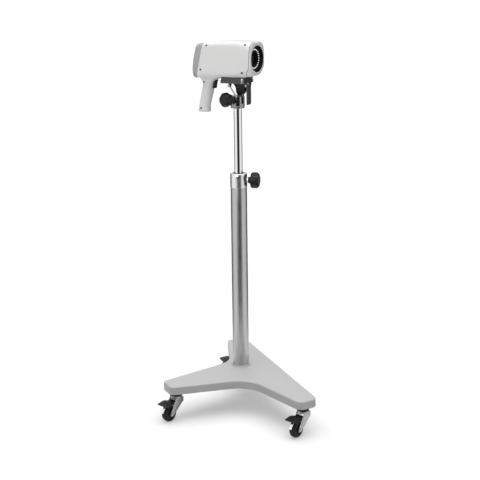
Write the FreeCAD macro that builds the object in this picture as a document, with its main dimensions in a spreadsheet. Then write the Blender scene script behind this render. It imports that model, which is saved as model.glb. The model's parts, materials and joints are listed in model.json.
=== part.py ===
"""Video colposcope on a height-adjustable stand with three braked castors.

Millimetres. The floor is z = 0 and +X is the direction in which the camera head looks.
Each sub-part is its own body, drawn in its own axes and put in place by its Placement.
"""
import FreeCAD, Part
import math
import os
import Sketcher

Vector = FreeCAD.Vector
X_AXIS, Y_AXIS, Z_AXIS = Vector(1, 0, 0), Vector(0, 1, 0), Vector(0, 0, 1)

DRIVING_SIZES = [
    # frame: from the column's axis to the middle of the object's box
    ("frame_x", -80.37),
    ("frame_y", 34.73),
    # moulded base and the steel spider under it
    ("hub_forward", 48.0),
    ("leg_end_width", 62.0),
    ("left_leg_reach", 300.0),
    ("right_leg_reach", 315.0),
    ("rear_leg_reach", 269.0),
    ("left_leg_angle", 236.0),
    ("right_leg_angle", 328.0),
    ("rear_leg_angle", 131.0),
    ("front_valley_reach", 105.0),
    ("front_valley_angle", 289.0),
    ("rear_valley_reach", 94.0),
    ("rear_valley_angle", 172.6),
    ("valley_round", 90.0),
    ("leg_end_round", 15.0),
    ("base_underside", 88.0),
    ("skirt_depth", 27.0),
    ("shell_wall", 3.0),
    ("shell_edge_round", 3.5),
    ("spider_lift", 2.0),
    ("spider_thick", 6.0),
    ("spider_gap", 1.0),
    ("castor_inset", 30.0),
    ("base_boss_radius", 7.0),
    ("base_screw_radius", 2.5),
    # column, collar and height lock
    ("column_radius", 25.0),
    ("column_wall", 2.5),
    ("column_end", 686.0),
    ("foot_ring_width", 4.5),
    ("foot_ring_high", 3.0),
    ("plug_high", 40.0),
    ("column_bolt_radius", 6.0),
    ("collar_high", 43.0),
    ("collar_step", 1.0),
    ("collar_plug_deep", 26.0),
    ("bush_wall", 3.5),
    ("bush_flange", 2.0),
    ("run_gap", 0.05),
    ("free_gap", 0.3),
    # telescopic pole
    ("pole_radius", 12.5),
    ("pole_wall", 2.0),
    ("pole_foot", 440.0),
    ("pole_end", 957.5),
    ("guide_high", 30.0),
    # star knobs
    ("knob_radius", 24.5),
    ("knob_thick", 26.0),
    ("knob_neck_radius", 11.0),
    ("knob_neck_long", 8.0),
    ("knob_lobe_cut", 9.5),
    ("knob_cut_reach", 30.0),
    ("stud_radius", 4.0),
    ("stud_collar_radius", 7.5),
    ("stud_collar_thick", 3.0),
    ("height_knob_angle", 16.0),
    ("height_knob_reach", 38.0),
    ("pan_knob_angle", 253.0),
    ("pan_knob_reach", 34.0),
    ("pan_knob_high", 953.5),
    # pole head: socket, tilt block and quick-release plate
    ("socket_radius", 21.0),
    ("socket_bottom", 925.5),
    ("socket_top", 963.0),
    ("tilt_axis_x", 12.0),
    ("tilt_axis_high", 977.0),
    ("tongue_width", 8.0),
    ("tilt_ear_radius", 12.0),
    ("tilt_ear_thick", 6.0),
    ("tilt_axle_radius", 4.0),
    ("block_top", 1000.5),
    ("block_front", 29.5),
    ("block_flare", 11.0),
    ("carrier_thick", 8.0),
    ("plate_thick", 9.5),
    ("plate_front", 36.0),
    ("plate_rear", 40.0),
    ("plate_width", 68.0),
    ("camera_screw_radius", 3.1),
    ("lever_pin_radius", 2.0),
    ("clamp_pivot_x", 35.0),
    ("lever_pivot_drop", 7.0),
    ("clamp_lever_long", 57.0),
    ("clamp_lever_width", 20.0),
    ("clamp_lever_thick", 6.0),
    ("release_pivot_x", -14.0),
    ("release_side", -24.5),
    ("release_reach_x", 25.0),
    ("release_reach_down", 34.0),
    ("release_rod_radius", 2.0),
    # camera housing, seen from its right side
    ("housing_width", 88.0),
    ("housing_wall", 2.5),
    ("housing_front", 60.0),
    ("housing_front_top", 103.0),
    ("housing_front_lift", 4.0),
    ("housing_crown", 105.5),
    ("housing_crown_x", 15.0),
    ("seam_top_x", -93.0),
    ("seam_top_high", 99.5),
    ("seam_low_x", -117.5),
    ("seam_low_drop", 4.5),
    ("housing_round", 15.0),
    ("bezel_thick", 8.0),
    ("bezel_width", 84.0),
    ("bezel_high", 95.5),
    ("bezel_round", 35.0),
    ("lens_high", 54.0),
    ("lens_face_radius", 38.5),
    ("lens_recess", 8.0),
    ("barrel_radius", 21.5),
    ("barrel_long", 62.0),
    ("barrel_bore", 17.0),
    ("led_count", 24.0),
    ("led_ring_radius", 30.0),
    ("led_radius", 2.5),
    ("cap_back_arc", 75.0),
    # grip and trigger
    ("grip_width", 35.0),
    ("grip_root_front", -46.0),
    ("grip_root_back", -117.0),
    ("grip_front", -81.0),
    ("grip_back", -115.0),
    ("grip_flare_arc", 40.0),
    ("grip_foot_front", -91.5),
    ("grip_foot_back", -126.5),
    ("grip_foot_drop", 109.0),
    ("grip_round", 11.0),
    ("screw_head_radius", 3.0),
    ("screw_head_thick", 1.2),
    ("screw_shank_radius", 1.5),
    ("cable_hole_radius", 4.0),
    ("trigger_width", 12.0),
    ("trigger_pivot_x", -81.0),
    ("trigger_pivot_drop", 16.0),
    ("trigger_long", 21.0),
    ("trigger_pin_radius", 1.5),
    # castors
    ("castor_trail", 33.0),
    ("front_castor_turn", 259.0),
    ("rear_castor_turn", 229.0),
    ("wheel_radius", 25.0),
    ("wheel_width", 20.0),
    ("wheel_hub_radius", 16.0),
    ("tread_crown", 0.9),
    ("axle_radius", 4.0),
    ("cup_radius", 18.0),
    ("cup_high", 15.0),
    ("king_pin_radius", 5.0),
    ("crown_radius", 19.0),
    ("crown_thick", 7.0),
    ("fork_inside", 24.6),
    ("fork_sheet", 2.2),
    ("cup_race", 2.5),
    ("pedal_width", 46.0),
    ("pedal_reach", 60.0),
    ("pedal_pivot_x", 14.0),
    ("pedal_pivot_high", 57.0),
    ("pedal_pin_radius", 2.0),
]


class Size:
    """A length or angle: its number now, and the expression that keeps it up to date."""

    def __init__(self, value, text):
        self.value = value
        self.text = text

    def __add__(self, other):
        other = as_size(other)
        return Size(self.value + other.value, f"({self.text} + {other.text})")

    def __radd__(self, other):
        return as_size(other) + self

    def __sub__(self, other):
        other = as_size(other)
        return Size(self.value - other.value, f"({self.text} - {other.text})")

    def __rsub__(self, other):
        return as_size(other) - self

    def __mul__(self, other):
        other = as_size(other)
        return Size(self.value * other.value, f"({self.text} * {other.text})")

    def __rmul__(self, other):
        return as_size(other) * self

    def __truediv__(self, other):
        other = as_size(other)
        return Size(self.value / other.value, f"({self.text} / {other.text})")

    def __neg__(self):
        return Size(-self.value, f"(0 - {self.text})")


def as_size(thing):
    """A plain number becomes a Size with no cell behind it."""
    if isinstance(thing, Size):
        return thing
    return Size(float(thing), f"{float(thing):.6f}")


def cosine(angle):
    return Size(math.cos(math.radians(angle.value)), f"cos({angle.text})")


def sine(angle):
    return Size(math.sin(math.radians(angle.value)), f"sin({angle.text})")


doc = FreeCAD.newDocument("colposcope")
sheet = doc.addObject("Spreadsheet::Sheet", "Sizes")


class Cells:
    """The driving sizes, one attribute for each alias of the sheet."""


S = Cells()
for row, (alias, number) in enumerate(DRIVING_SIZES, start=1):
    sheet.set(f"A{row}", alias)
    sheet.set(f"B{row}", str(number))
    sheet.setAlias(f"B{row}", alias)
    setattr(S, alias, Size(number, f"Sizes.{alias}"))
doc.recompute()

nodes = []


def bind(target, name, size):
    """Set a property and tie it to the sheet."""
    size = as_size(size)
    target.setExpression(name, size.text)


def new_body(label, at=(0, 0, 0), turns=()):
    """A body for one node. `turns` are rotations, the first one made first."""
    body = doc.addObject("PartDesign::Body", label)
    body.Label = label
    rotation = FreeCAD.Rotation()
    for axis, degrees in turns:
        rotation = FreeCAD.Rotation(axis, as_size(degrees).value).multiply(rotation)
    x, y, z = (as_size(value) for value in at)
    x, y = x + S.frame_x, y + S.frame_y
    body.Placement = FreeCAD.Placement(Vector(x.value, y.value, z.value), rotation)
    bind(body, "Placement.Base.x", x)
    bind(body, "Placement.Base.y", y)
    bind(body, "Placement.Base.z", z)
    nodes.append(body)
    return body


def sketch_on(body, plane, height=0.0):
    """A sketch on one of the body's own origin planes, lifted along its normal."""
    sketch = body.newObject("Sketcher::SketchObject", f"{body.Label}_sketch")
    origin_plane = [item for item in body.Origin.OriginFeatures if item.Role == plane][0]
    sketch.AttachmentSupport = [(origin_plane, "")]
    sketch.MapMode = "FlatFace"
    height = as_size(height)
    sketch.AttachmentOffset = FreeCAD.Placement(Vector(0, 0, height.value), FreeCAD.Rotation())
    bind(sketch, "AttachmentOffset.Base.z", height)
    return sketch


def tie(sketch, constraint, size):
    index = sketch.addConstraint(constraint)
    if "Sizes." in size.text:
        sketch.setExpression(f"Constraints[{index}]", size.text)


def tie_point(sketch, geometry, place, u, v):
    """Fix a point of a sketch by its two coordinates."""
    if u.value == 0.0 and "Sizes." not in u.text:
        sketch.addConstraint(Sketcher.Constraint("PointOnObject", geometry, place, -2))
    else:
        tie(sketch, Sketcher.Constraint("DistanceX", -1, 1, geometry, place, u.value), u)
    if v.value == 0.0 and "Sizes." not in v.text:
        sketch.addConstraint(Sketcher.Constraint("PointOnObject", geometry, place, -1))
    else:
        tie(sketch, Sketcher.Constraint("DistanceY", -1, 1, geometry, place, v.value), v)


def arc_between(start, end, radius):
    """The short arc from start to end. A positive radius turns left, a negative one right."""
    chord = end.sub(start)
    half = chord.Length / 2.0
    left = Vector(-chord.y, chord.x, 0).normalize()
    rise = math.sqrt(max(radius * radius - half * half, 0.0))
    centre = (start + end) * 0.5 + left * (rise if radius > 0 else -rise)
    first, last = (start, end) if radius > 0 else (end, start)
    angle_first = math.atan2(first.y - centre.y, first.x - centre.x)
    angle_last = math.atan2(last.y - centre.y, last.x - centre.x)
    if angle_last < angle_first:
        angle_last += 2 * math.pi
    return Part.ArcOfCircle(Part.Circle(centre, Z_AXIS, abs(radius)), angle_first, angle_last)


def draw_outline(sketch, corners):
    """A closed outline. A corner is (u, v), or (u, v, radius) where an arc leaves it."""
    corners = [tuple(as_size(value) for value in corner) for corner in corners]
    edges = []
    for index, corner in enumerate(corners):
        following = corners[(index + 1) % len(corners)]
        start = Vector(corner[0].value, corner[1].value, 0)
        end = Vector(following[0].value, following[1].value, 0)
        if len(corner) == 3:
            radius = corner[2]
            geometry = sketch.addGeometry(arc_between(start, end, radius.value), False)
            ends = (1, 2) if radius.value > 0 else (2, 1)
            size = radius if radius.value > 0 else -radius
            tie(sketch, Sketcher.Constraint("Radius", geometry, abs(radius.value)), size)
        else:
            geometry = sketch.addGeometry(Part.LineSegment(start, end), False)
            ends = (1, 2)
        edges.append((geometry, ends))
    for index, (geometry, ends) in enumerate(edges):
        after, after_ends = edges[(index + 1) % len(edges)]
        sketch.addConstraint(
            Sketcher.Constraint("Coincident", geometry, ends[1], after, after_ends[0]))
        tie_point(sketch, geometry, ends[0], corners[index][0], corners[index][1])


def draw_box(sketch, u0, v0, u1, v1):
    draw_outline(sketch, [(u0, v0), (u1, v0), (u1, v1), (u0, v1)])


def draw_circle(sketch, u, v, radius):
    u, v, radius = as_size(u), as_size(v), as_size(radius)
    circle = Part.Circle(Vector(u.value, v.value, 0), Z_AXIS, radius.value)
    geometry = sketch.addGeometry(circle, False)
    tie(sketch, Sketcher.Constraint("Radius", geometry, radius.value), radius)
    tie_point(sketch, geometry, 3, u, v)


def extrude(kind, body, sketch, length, side):
    """Pad or pocket. `side` is along, against or both, seen from the sketch's normal."""
    feature = body.newObject(f"PartDesign::{kind}", f"{body.Label}_{kind.lower()}")
    feature.Profile = sketch
    feature.Length = as_size(length).value
    bind(feature, "Length", length)
    feature.SideType = "Symmetric" if side == "both" else "One side"
    along = side == "against" if kind == "Pad" else side == "along"
    feature.Reversed = along
    settle(body, feature)
    return feature


def settle(body, feature):
    """Recompute, refuse a feature or profile that failed, and make it the body's tip."""
    doc.recompute()
    for item in (getattr(feature, "Profile", None), feature):
        item = item[0] if isinstance(item, tuple) else item
        if item is not None and ("Invalid" in item.State or "Error" in item.State):
            raise ValueError(f"{item.Name} on {body.Label} failed")
    body.Tip = feature


def pad(body, sketch, length, side="along"):
    return extrude("Pad", body, sketch, length, side)


def pocket(body, sketch, length, side="along"):
    before = body.Shape.Volume
    feature = extrude("Pocket", body, sketch, length, side)
    if body.Shape.Volume >= before:
        raise ValueError(f"a pocket of {body.Label} cuts nothing")
    return feature


def revolve(body, sketch, kind="Revolution"):
    """Turn a profile about the sketch's vertical axis."""
    feature = body.newObject(f"PartDesign::{kind}", f"{body.Label}_{kind.lower()}")
    feature.Profile = sketch
    feature.ReferenceAxis = (sketch, ["V_Axis"])
    feature.Angle = 360.0
    settle(body, feature)
    return feature


def dress(kind, body, radius, wanted):
    """Fillet or chamfer the edges of the body that `wanted` picks."""
    base = body.Tip
    names = [f"Edge{number}" for number, edge in enumerate(base.Shape.Edges, start=1)
             if wanted(edge)]
    if not names:
        raise ValueError(f"no edge to round on {body.Label}")
    feature = body.newObject(f"PartDesign::{kind}", f"{body.Label}_{kind.lower()}")
    feature.Base = (base, names)
    size_name = "Radius" if kind == "Fillet" else "Size"
    setattr(feature, size_name, as_size(radius).value)
    bind(feature, size_name, radius)
    settle(body, feature)
    return feature


def fillet(body, radius, wanted):
    return dress("Fillet", body, radius, wanted)


def turned(label, profile, at=(0, 0, 0), turns=()):
    """A body turned about its own Z axis from a half profile of (radius, z) corners."""
    body = new_body(label, at, turns)
    sketch = sketch_on(body, "XZ_Plane")
    draw_outline(sketch, profile)
    revolve(body, sketch)
    return body


def direction_of(edge):
    """The unit direction of a straight edge, or None for a curved one."""
    if not isinstance(edge.Curve, Part.Line):
        return None
    return edge.Curve.Direction


def runs_along(edge, axis):
    direction = direction_of(edge)
    return direction is not None and abs(abs(direction.dot(axis)) - 1.0) < 1e-6


def middle(edge):
    return edge.CenterOfMass


def close_to(value, target, slack=0.05):
    return abs(value - as_size(target).value) < slack


base_top = S.base_underside + S.skirt_depth
spider_bottom = S.base_underside + S.spider_lift
spider_top = spider_bottom + S.spider_thick
collar_top = S.column_end + S.collar_high
column_bore = S.column_radius - S.column_wall
collar_radius = S.column_radius + S.collar_step
bush_bore = S.pole_radius + S.run_gap
bush_radius = bush_bore + S.bush_wall
carrier_top = S.block_top + S.carrier_thick
deck = carrier_top + S.plate_thick
LEGS = {
    "left": (S.left_leg_reach, S.left_leg_angle),
    "right": (S.right_leg_reach, S.right_leg_angle),
    "rear": (S.rear_leg_reach, S.rear_leg_angle),
}


def leg_point(reach, angle, aside=0.0):
    """A point on a leg: `reach` out from the hub and `aside` to the leg's left."""
    reach, aside = as_size(reach), as_size(aside)
    x = S.hub_forward + reach * cosine(angle) - aside * sine(angle)
    y = reach * sine(angle) + aside * cosine(angle)
    return x, y


def leg_outline(inset):
    """The base's outline, all of it `inset` within the outer wall."""
    half = S.leg_end_width / 2 - inset
    corners = []
    for name in ("left", "right", "rear"):
        reach, angle = LEGS[name]
        corners.append(leg_point(reach - inset, angle, -half))
        corners.append(leg_point(reach - inset, angle, half))
        if name == "left":
            corners.append(leg_point(S.front_valley_reach - inset, S.front_valley_angle))
        if name == "rear":
            corners.append(leg_point(S.rear_valley_reach - inset, S.rear_valley_angle))
    return corners


def castor_place(name):
    reach, angle = LEGS[name]
    return leg_point(reach - S.castor_inset, angle)


def round_base_corners(body, inset):
    """Large arcs in the two valleys and small ones at the leg ends."""
    valleys = [leg_point(S.front_valley_reach - inset, S.front_valley_angle),
               leg_point(S.rear_valley_reach - inset, S.rear_valley_angle)]

    def is_valley(edge):
        return runs_along(edge, Z_AXIS) and any(
            close_to(middle(edge).x, x) and close_to(middle(edge).y, y) for x, y in valleys)

    def is_leg_end(edge):
        return runs_along(edge, Z_AXIS) and not is_valley(edge)

    ends = S.leg_end_round - inset
    fillet(body, ends, is_leg_end)
    fillet(body, S.valley_round + inset, is_valley)


def screw_places():
    """Two screws on each leg hold the spider up against the bosses of the shell."""
    places = []
    for reach, angle in LEGS.values():
        for share in (0.4, 0.72):
            places.append(leg_point(reach * share, angle))
    return places


def make_base_shell():
    """Moulded cover with a turned-down skirt, screw bosses and a hole for the column."""
    body = new_body("base_shell")
    sketch = sketch_on(body, "XY_Plane", S.base_underside)
    draw_outline(sketch, leg_outline(as_size(0)))
    pad(body, sketch, S.skirt_depth)
    round_base_corners(body, as_size(0))
    fillet(body, S.shell_edge_round,
           lambda edge: close_to(edge.BoundBox.ZMin, base_top) and close_to(
               edge.BoundBox.ZMax, base_top))
    cavity = sketch_on(body, "XY_Plane", S.base_underside)
    draw_outline(cavity, leg_outline(S.shell_wall))
    pocket(body, cavity, S.skirt_depth - S.shell_wall, "along")
    bosses = sketch_on(body, "XY_Plane", base_top - S.shell_wall)
    for x, y in screw_places():
        draw_circle(bosses, x, y, S.base_boss_radius)
    pad(body, bosses, base_top - S.shell_wall - spider_top, "against")
    holes = sketch_on(body, "XY_Plane", spider_top)
    for x, y in screw_places():
        draw_circle(holes, x, y, S.base_screw_radius + S.run_gap)
    pocket(body, holes, S.skirt_depth / 2, "along")
    column_hole = sketch_on(body, "XY_Plane", base_top)
    draw_circle(column_hole, 0, 0, S.column_radius + S.free_gap)
    pocket(body, column_hole, S.skirt_depth, "against")
    return body


def make_spider():
    """Steel plate under the shell that carries the column and the castors."""
    inset = S.shell_wall + S.spider_gap
    body = new_body("base_spider")
    sketch = sketch_on(body, "XY_Plane", spider_bottom)
    draw_outline(sketch, leg_outline(inset))
    pad(body, sketch, S.spider_thick)
    holes = sketch_on(body, "XY_Plane", spider_top)
    draw_circle(holes, 0, 0, S.column_bolt_radius + S.run_gap)
    for x, y in screw_places():
        draw_circle(holes, x, y, S.base_screw_radius + S.run_gap)
    for name in LEGS:
        x, y = castor_place(name)
        draw_circle(holes, x, y, S.king_pin_radius + S.run_gap)
    pocket(body, holes, S.spider_thick, "against")
    return body


def make_base_screws():
    """Pan-head screws from below, all in one node."""
    head = S.base_screw_radius * 2
    head_high = S.spider_lift * 0.8
    length = S.spider_thick + S.skirt_depth / 3
    body = doc.addObject("Part::Compound", "base_screws")
    body.Label = "base_screws"
    links = []
    for number, (x, y) in enumerate(screw_places()):
        shank = cylinder(f"base_screw_shank_{number}", S.base_screw_radius, length,
                         (x, y, spider_bottom))
        cap = cylinder(f"base_screw_head_{number}", head, head_high,
                       (x, y, spider_bottom - head_high))
        links.append(fuse(f"base_screw_{number}", [shank, cap]))
    body.Links = links
    nodes.append(body)


def cylinder(name, radius, height, at, turns=()):
    """A plain cylinder on its own Z axis, tied to the sheet."""
    item = doc.addObject("Part::Cylinder", name)
    rotation = FreeCAD.Rotation()
    for axis, degrees in turns:
        rotation = FreeCAD.Rotation(axis, as_size(degrees).value).multiply(rotation)
    x, y, z = (as_size(value) for value in at)
    x, y = x + S.frame_x, y + S.frame_y
    item.Placement = FreeCAD.Placement(Vector(x.value, y.value, z.value), rotation)
    bind(item, "Placement.Base.x", x)
    bind(item, "Placement.Base.y", y)
    bind(item, "Placement.Base.z", z)
    bind(item, "Radius", radius)
    bind(item, "Height", height)
    return item


def fuse(name, items):
    result = doc.addObject("Part::MultiFuse", name)
    result.Shapes = items
    result.Refine = True
    return result


def make_column():
    """Satin tube with a plug in its foot, bolted down through the spider."""
    body = new_body("column_tube")
    sketch = sketch_on(body, "XY_Plane", spider_top)
    draw_circle(sketch, 0, 0, S.column_radius)
    draw_circle(sketch, 0, 0, column_bore)
    pad(body, sketch, S.column_end - spider_top)

    plug_radius = column_bore - S.run_gap
    bolt = S.column_bolt_radius
    turned("column_plug", [
        (bolt + S.run_gap, spider_top), (plug_radius, spider_top),
        (plug_radius, spider_top + S.plug_high - 2),
        (plug_radius - 2, spider_top + S.plug_high),
        (bolt + S.run_gap, spider_top + S.plug_high)])
    turned("column_bolt", [
        (0, spider_bottom - 1.8), (bolt * 1.8, spider_bottom - 1.8),
        (bolt * 1.8, spider_bottom), (bolt, spider_bottom),
        (bolt, spider_top + S.plug_high * 0.9), (0, spider_top + S.plug_high * 0.9)])
    ring_in = S.column_radius + S.run_gap
    turned("foot_ring", [
        (ring_in, base_top), (ring_in + S.foot_ring_width, base_top),
        (ring_in + S.foot_ring_width, base_top + S.foot_ring_high - 1.5),
        (ring_in + S.foot_ring_width - 1.5, base_top + S.foot_ring_high),
        (ring_in, base_top + S.foot_ring_high)])


lock_high = S.column_end + S.collar_high / 2
stud_hole = S.stud_radius + S.run_gap


def radial_hole(body, high, reach):
    """A round hole through the wall on the body's own +X side."""
    sketch = sketch_on(body, "YZ_Plane")
    draw_circle(sketch, 0, high, stud_hole)
    pocket(body, sketch, reach, "along")


def make_collar():
    """Polished collar with a plug in the tube, and the plastic bush that guides the pole."""
    plug_radius = column_bore - S.run_gap
    bore = bush_radius
    collar = turned("column_collar", [
        (bore, S.column_end - S.collar_plug_deep), (plug_radius, S.column_end - S.collar_plug_deep),
        (plug_radius, S.column_end), (collar_radius, S.column_end),
        (collar_radius, collar_top - 3), (collar_radius - 3, collar_top), (bore, collar_top)],
        turns=[(Z_AXIS, S.height_knob_angle)])
    radial_hole(collar, lock_high, collar_radius * 2)
    bush = turned("column_bush", [
        (bush_bore, S.column_end - S.collar_plug_deep - S.bush_flange),
        (bush_radius + 2, S.column_end - S.collar_plug_deep - S.bush_flange),
        (bush_radius + 2, S.column_end - S.collar_plug_deep),
        (bush_radius, S.column_end - S.collar_plug_deep),
        (bush_radius, collar_top), (bush_radius - 0.8, collar_top + 0.8),
        (bush_bore, collar_top + 0.8)],
        turns=[(Z_AXIS, S.height_knob_angle)])
    radial_hole(bush, lock_high, collar_radius * 2)


def make_pole():
    """Chrome pole, and the guide at its foot that runs in the column and stops its rise."""
    turned("pole_tube", [
        (S.pole_radius - S.pole_wall, S.pole_foot), (S.pole_radius, S.pole_foot),
        (S.pole_radius, S.pole_end - 1), (S.pole_radius - 1, S.pole_end),
        (S.pole_radius - S.pole_wall, S.pole_end)])
    guide_radius = column_bore - S.run_gap
    turned("pole_guide", [
        (S.pole_radius, S.pole_foot), (guide_radius - 1.5, S.pole_foot),
        (guide_radius, S.pole_foot + 1.5), (guide_radius, S.pole_foot + S.guide_high - 1.5),
        (guide_radius - 1.5, S.pole_foot + S.guide_high),
        (S.pole_radius, S.pole_foot + S.guide_high)])


def make_star_knob(label, angle, reach, tip_reach, high):
    """Five-lobed hand knob, and the threaded stud that it turns."""
    turns = [(Y_AXIS, 90), (Z_AXIS, angle)]
    at = (0, 0, high)
    neck_start = reach - S.knob_neck_long
    body = new_body(label, at, turns)
    profile = sketch_on(body, "XZ_Plane")
    rim = S.knob_radius
    draw_outline(profile, [
        (S.stud_radius, neck_start), (S.knob_neck_radius, neck_start),
        (S.knob_neck_radius + 1.5, reach), (rim - 5, reach + 1), (rim, reach + 6),
        (rim, reach + S.knob_thick - 7), (rim - 5, reach + S.knob_thick - 1.5),
        (rim - 10, reach + S.knob_thick), (0, reach + S.knob_thick),
        (0, reach + S.knob_thick * 0.7), (S.stud_radius, reach + S.knob_thick * 0.7)])
    revolve(body, profile)
    cut = sketch_on(body, "XY_Plane", reach)
    draw_circle(cut, S.knob_cut_reach, 0, S.knob_lobe_cut)
    lobe = pocket(body, cut, S.knob_thick * 1.2, "along")
    pattern = body.newObject("PartDesign::PolarPattern", f"{label}_lobes")
    pattern.Originals = [lobe]
    pattern.Axis = (cut, ["N_Axis"])
    pattern.Angle = 360.0
    pattern.Occurrences = 5
    body.Tip = pattern
    doc.recompute()
    turned(f"{label}_stud", [
        (0, tip_reach), (S.stud_radius - 0.8, tip_reach), (S.stud_radius, tip_reach + 0.8),
        (S.stud_radius, neck_start - S.stud_collar_thick),
        (S.stud_collar_radius, neck_start - S.stud_collar_thick),
        (S.stud_collar_radius, neck_start), (S.stud_radius, neck_start),
        (S.stud_radius, reach + S.knob_thick * 0.7), (0, reach + S.knob_thick * 0.7)],
        at, turns)


def make_knobs():
    tip = S.pole_radius + S.free_gap
    make_star_knob("height_knob", S.height_knob_angle, S.height_knob_reach, tip, lock_high)
    make_star_knob("pan_knob", S.pan_knob_angle, S.pan_knob_reach, tip, S.pan_knob_high)


def make_socket():
    """Socket that turns on the pole's top, with the upright tongue of the tilt joint."""
    bore = S.pole_radius + S.run_gap
    body = turned("pole_socket", [
        (bore, S.socket_bottom), (S.socket_radius, S.socket_bottom),
        (S.socket_radius, S.socket_top - 1.5), (S.socket_radius - 1.5, S.socket_top),
        (0, S.socket_top), (0, S.pole_end + S.free_gap), (bore, S.pole_end + S.free_gap)])
    tongue = sketch_on(body, "XZ_Plane")
    round_radius = S.tilt_ear_radius - 0.5
    axis, rise = S.tilt_axis_x, S.tilt_axis_high
    draw_outline(tongue, [
        (axis - round_radius, S.socket_top - 2), (S.socket_radius - 2, S.socket_top - 2),
        (axis + round_radius, rise, round_radius), (axis, rise + round_radius, round_radius),
        (axis - round_radius, rise)])
    pad(body, tongue, S.tongue_width, "both")
    axle = sketch_on(body, "XZ_Plane")
    draw_circle(axle, axis, rise, S.tilt_axle_radius + S.run_gap)
    pocket(body, axle, S.socket_radius * 2, "both")
    hole = sketch_on(body, "XZ_Plane")
    hole.AttachmentOffset = FreeCAD.Placement(
        Vector(0, 0, 0), FreeCAD.Rotation(Y_AXIS, S.pan_knob_angle.value - 270.0))
    draw_circle(hole, 0, S.pan_knob_high, stud_hole)
    pocket(body, hole, S.socket_radius * 2, "along")


def make_tilt_block():
    """Black block: two ears on the tilt axle, and a bridge that carries the plate."""
    body = new_body("tilt_block")
    ear = S.tilt_ear_radius
    width = S.tongue_width + 2 * S.free_gap + 2 * S.tilt_ear_thick
    axis, rise = S.tilt_axis_x, S.tilt_axis_high
    shoulder = rise + ear + 1.5
    flare = S.block_flare
    profile = sketch_on(body, "XZ_Plane")
    draw_outline(profile, [
        (axis - ear, rise, ear), (axis, rise - ear, ear), (axis + ear, rise),
        (S.block_front, shoulder - 2), (S.block_front, S.block_top),
        (axis - ear - flare, S.block_top), (axis - ear - flare, S.block_top - 2, -flare * 2),
        (axis - ear, rise + 4)])
    pad(body, profile, width, "both")
    slot = sketch_on(body, "XZ_Plane")
    draw_box(slot, -S.socket_radius, rise - ear - 2, S.block_front + 5, shoulder)
    pocket(body, slot, S.tongue_width + 2 * S.free_gap, "both")
    bore = sketch_on(body, "XZ_Plane")
    draw_circle(bore, axis, rise, S.tilt_axle_radius)
    pocket(body, bore, width * 2, "both")
    fillet(body, 2.0, lambda edge: runs_along(edge, Z_AXIS) and middle(edge).z > shoulder.value
           and abs(middle(edge).y) > S.tongue_width.value)


def pin(label, radius, half_long, x, z, head=0.0, head_thick=0.0):
    """A pin across the object at (x, z), with a head at each end if it has one."""
    outline = [(0, -half_long), (radius, -half_long), (radius, half_long), (0, half_long)]
    if as_size(head).value > 0:
        outline = [
            (0, -half_long - head_thick), (head, -half_long - head_thick), (head, -half_long),
            (radius, -half_long), (radius, half_long), (head, half_long),
            (head, half_long + head_thick), (0, half_long + head_thick)]
    return turned(label, outline, (x, 0, z), [(X_AXIS, 90)])


def make_plates():
    """Carrier on the tilt block, and the quick-release plate that the camera stands on."""
    half = S.plate_width / 2
    carrier = new_body("plate_carrier")
    sketch = sketch_on(carrier, "XY_Plane", S.block_top)
    draw_box(sketch, -S.plate_rear, -half, S.plate_front, half)
    pad(carrier, sketch, S.carrier_thick)
    lever_lugs(carrier)
    fillet(carrier, 3.0, lambda edge: runs_along(edge, Z_AXIS)
           and middle(edge).z > S.block_top.value and abs(middle(edge).y) > half.value - 0.1)
    seat = sketch_on(carrier, "XY_Plane", carrier_top)
    draw_circle(seat, screw_x, 0, camera_head_radius + 1)
    pocket(carrier, seat, S.carrier_thick, "against")

    plate = new_body("quick_release_plate")
    sketch = sketch_on(plate, "XY_Plane", carrier_top)
    draw_box(sketch, 1 - S.plate_rear, 1 - half, S.plate_front - 1, half - 1)
    pad(plate, sketch, S.plate_thick)
    fillet(plate, 3.0, lambda edge: runs_along(edge, Z_AXIS))
    hole = sketch_on(plate, "XY_Plane", carrier_top)
    draw_circle(hole, screw_x, 0, S.camera_screw_radius + S.run_gap)
    pocket(plate, hole, S.plate_thick, "along")

    radius = S.camera_screw_radius
    turned("camera_screw", [
        (0, carrier_top - 5), (camera_head_radius, carrier_top - 5),
        (camera_head_radius, carrier_top), (radius, carrier_top), (radius, deck + 5),
        (0, deck + 5)], (screw_x, 0, 0))


screw_x = as_size(6)
camera_head_radius = S.camera_screw_radius * 2.2
pivot_high = S.block_top - S.lever_pivot_drop
lug_thick = as_size(4)


def lever_lugs(carrier):
    """Lugs under the carrier: a pair for the clamp lever and one for the release lever."""
    side = S.clamp_lever_width / 2 + S.free_gap
    for x, near, far in ((S.clamp_pivot_x, side, side + lug_thick),
                         (S.clamp_pivot_x, -side - lug_thick, -side),
                         (S.release_pivot_x, S.release_side + 2.5, S.release_side + 6.5)):
        sketch = sketch_on(carrier, "XZ_Plane", -far)
        draw_outline(sketch, [
            (x - 4, pivot_high, 4), (x, pivot_high - 4, 4), (x + 4, pivot_high),
            (x + 4, S.block_top + 1), (x - 4, S.block_top + 1)])
        pad(carrier, sketch, far - near)
    bore = sketch_on(carrier, "XZ_Plane")
    draw_circle(bore, S.clamp_pivot_x, pivot_high, S.lever_pin_radius)
    draw_circle(bore, S.release_pivot_x, pivot_high, S.lever_pin_radius)
    pocket(carrier, bore, S.plate_width * 2, "both")


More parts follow.
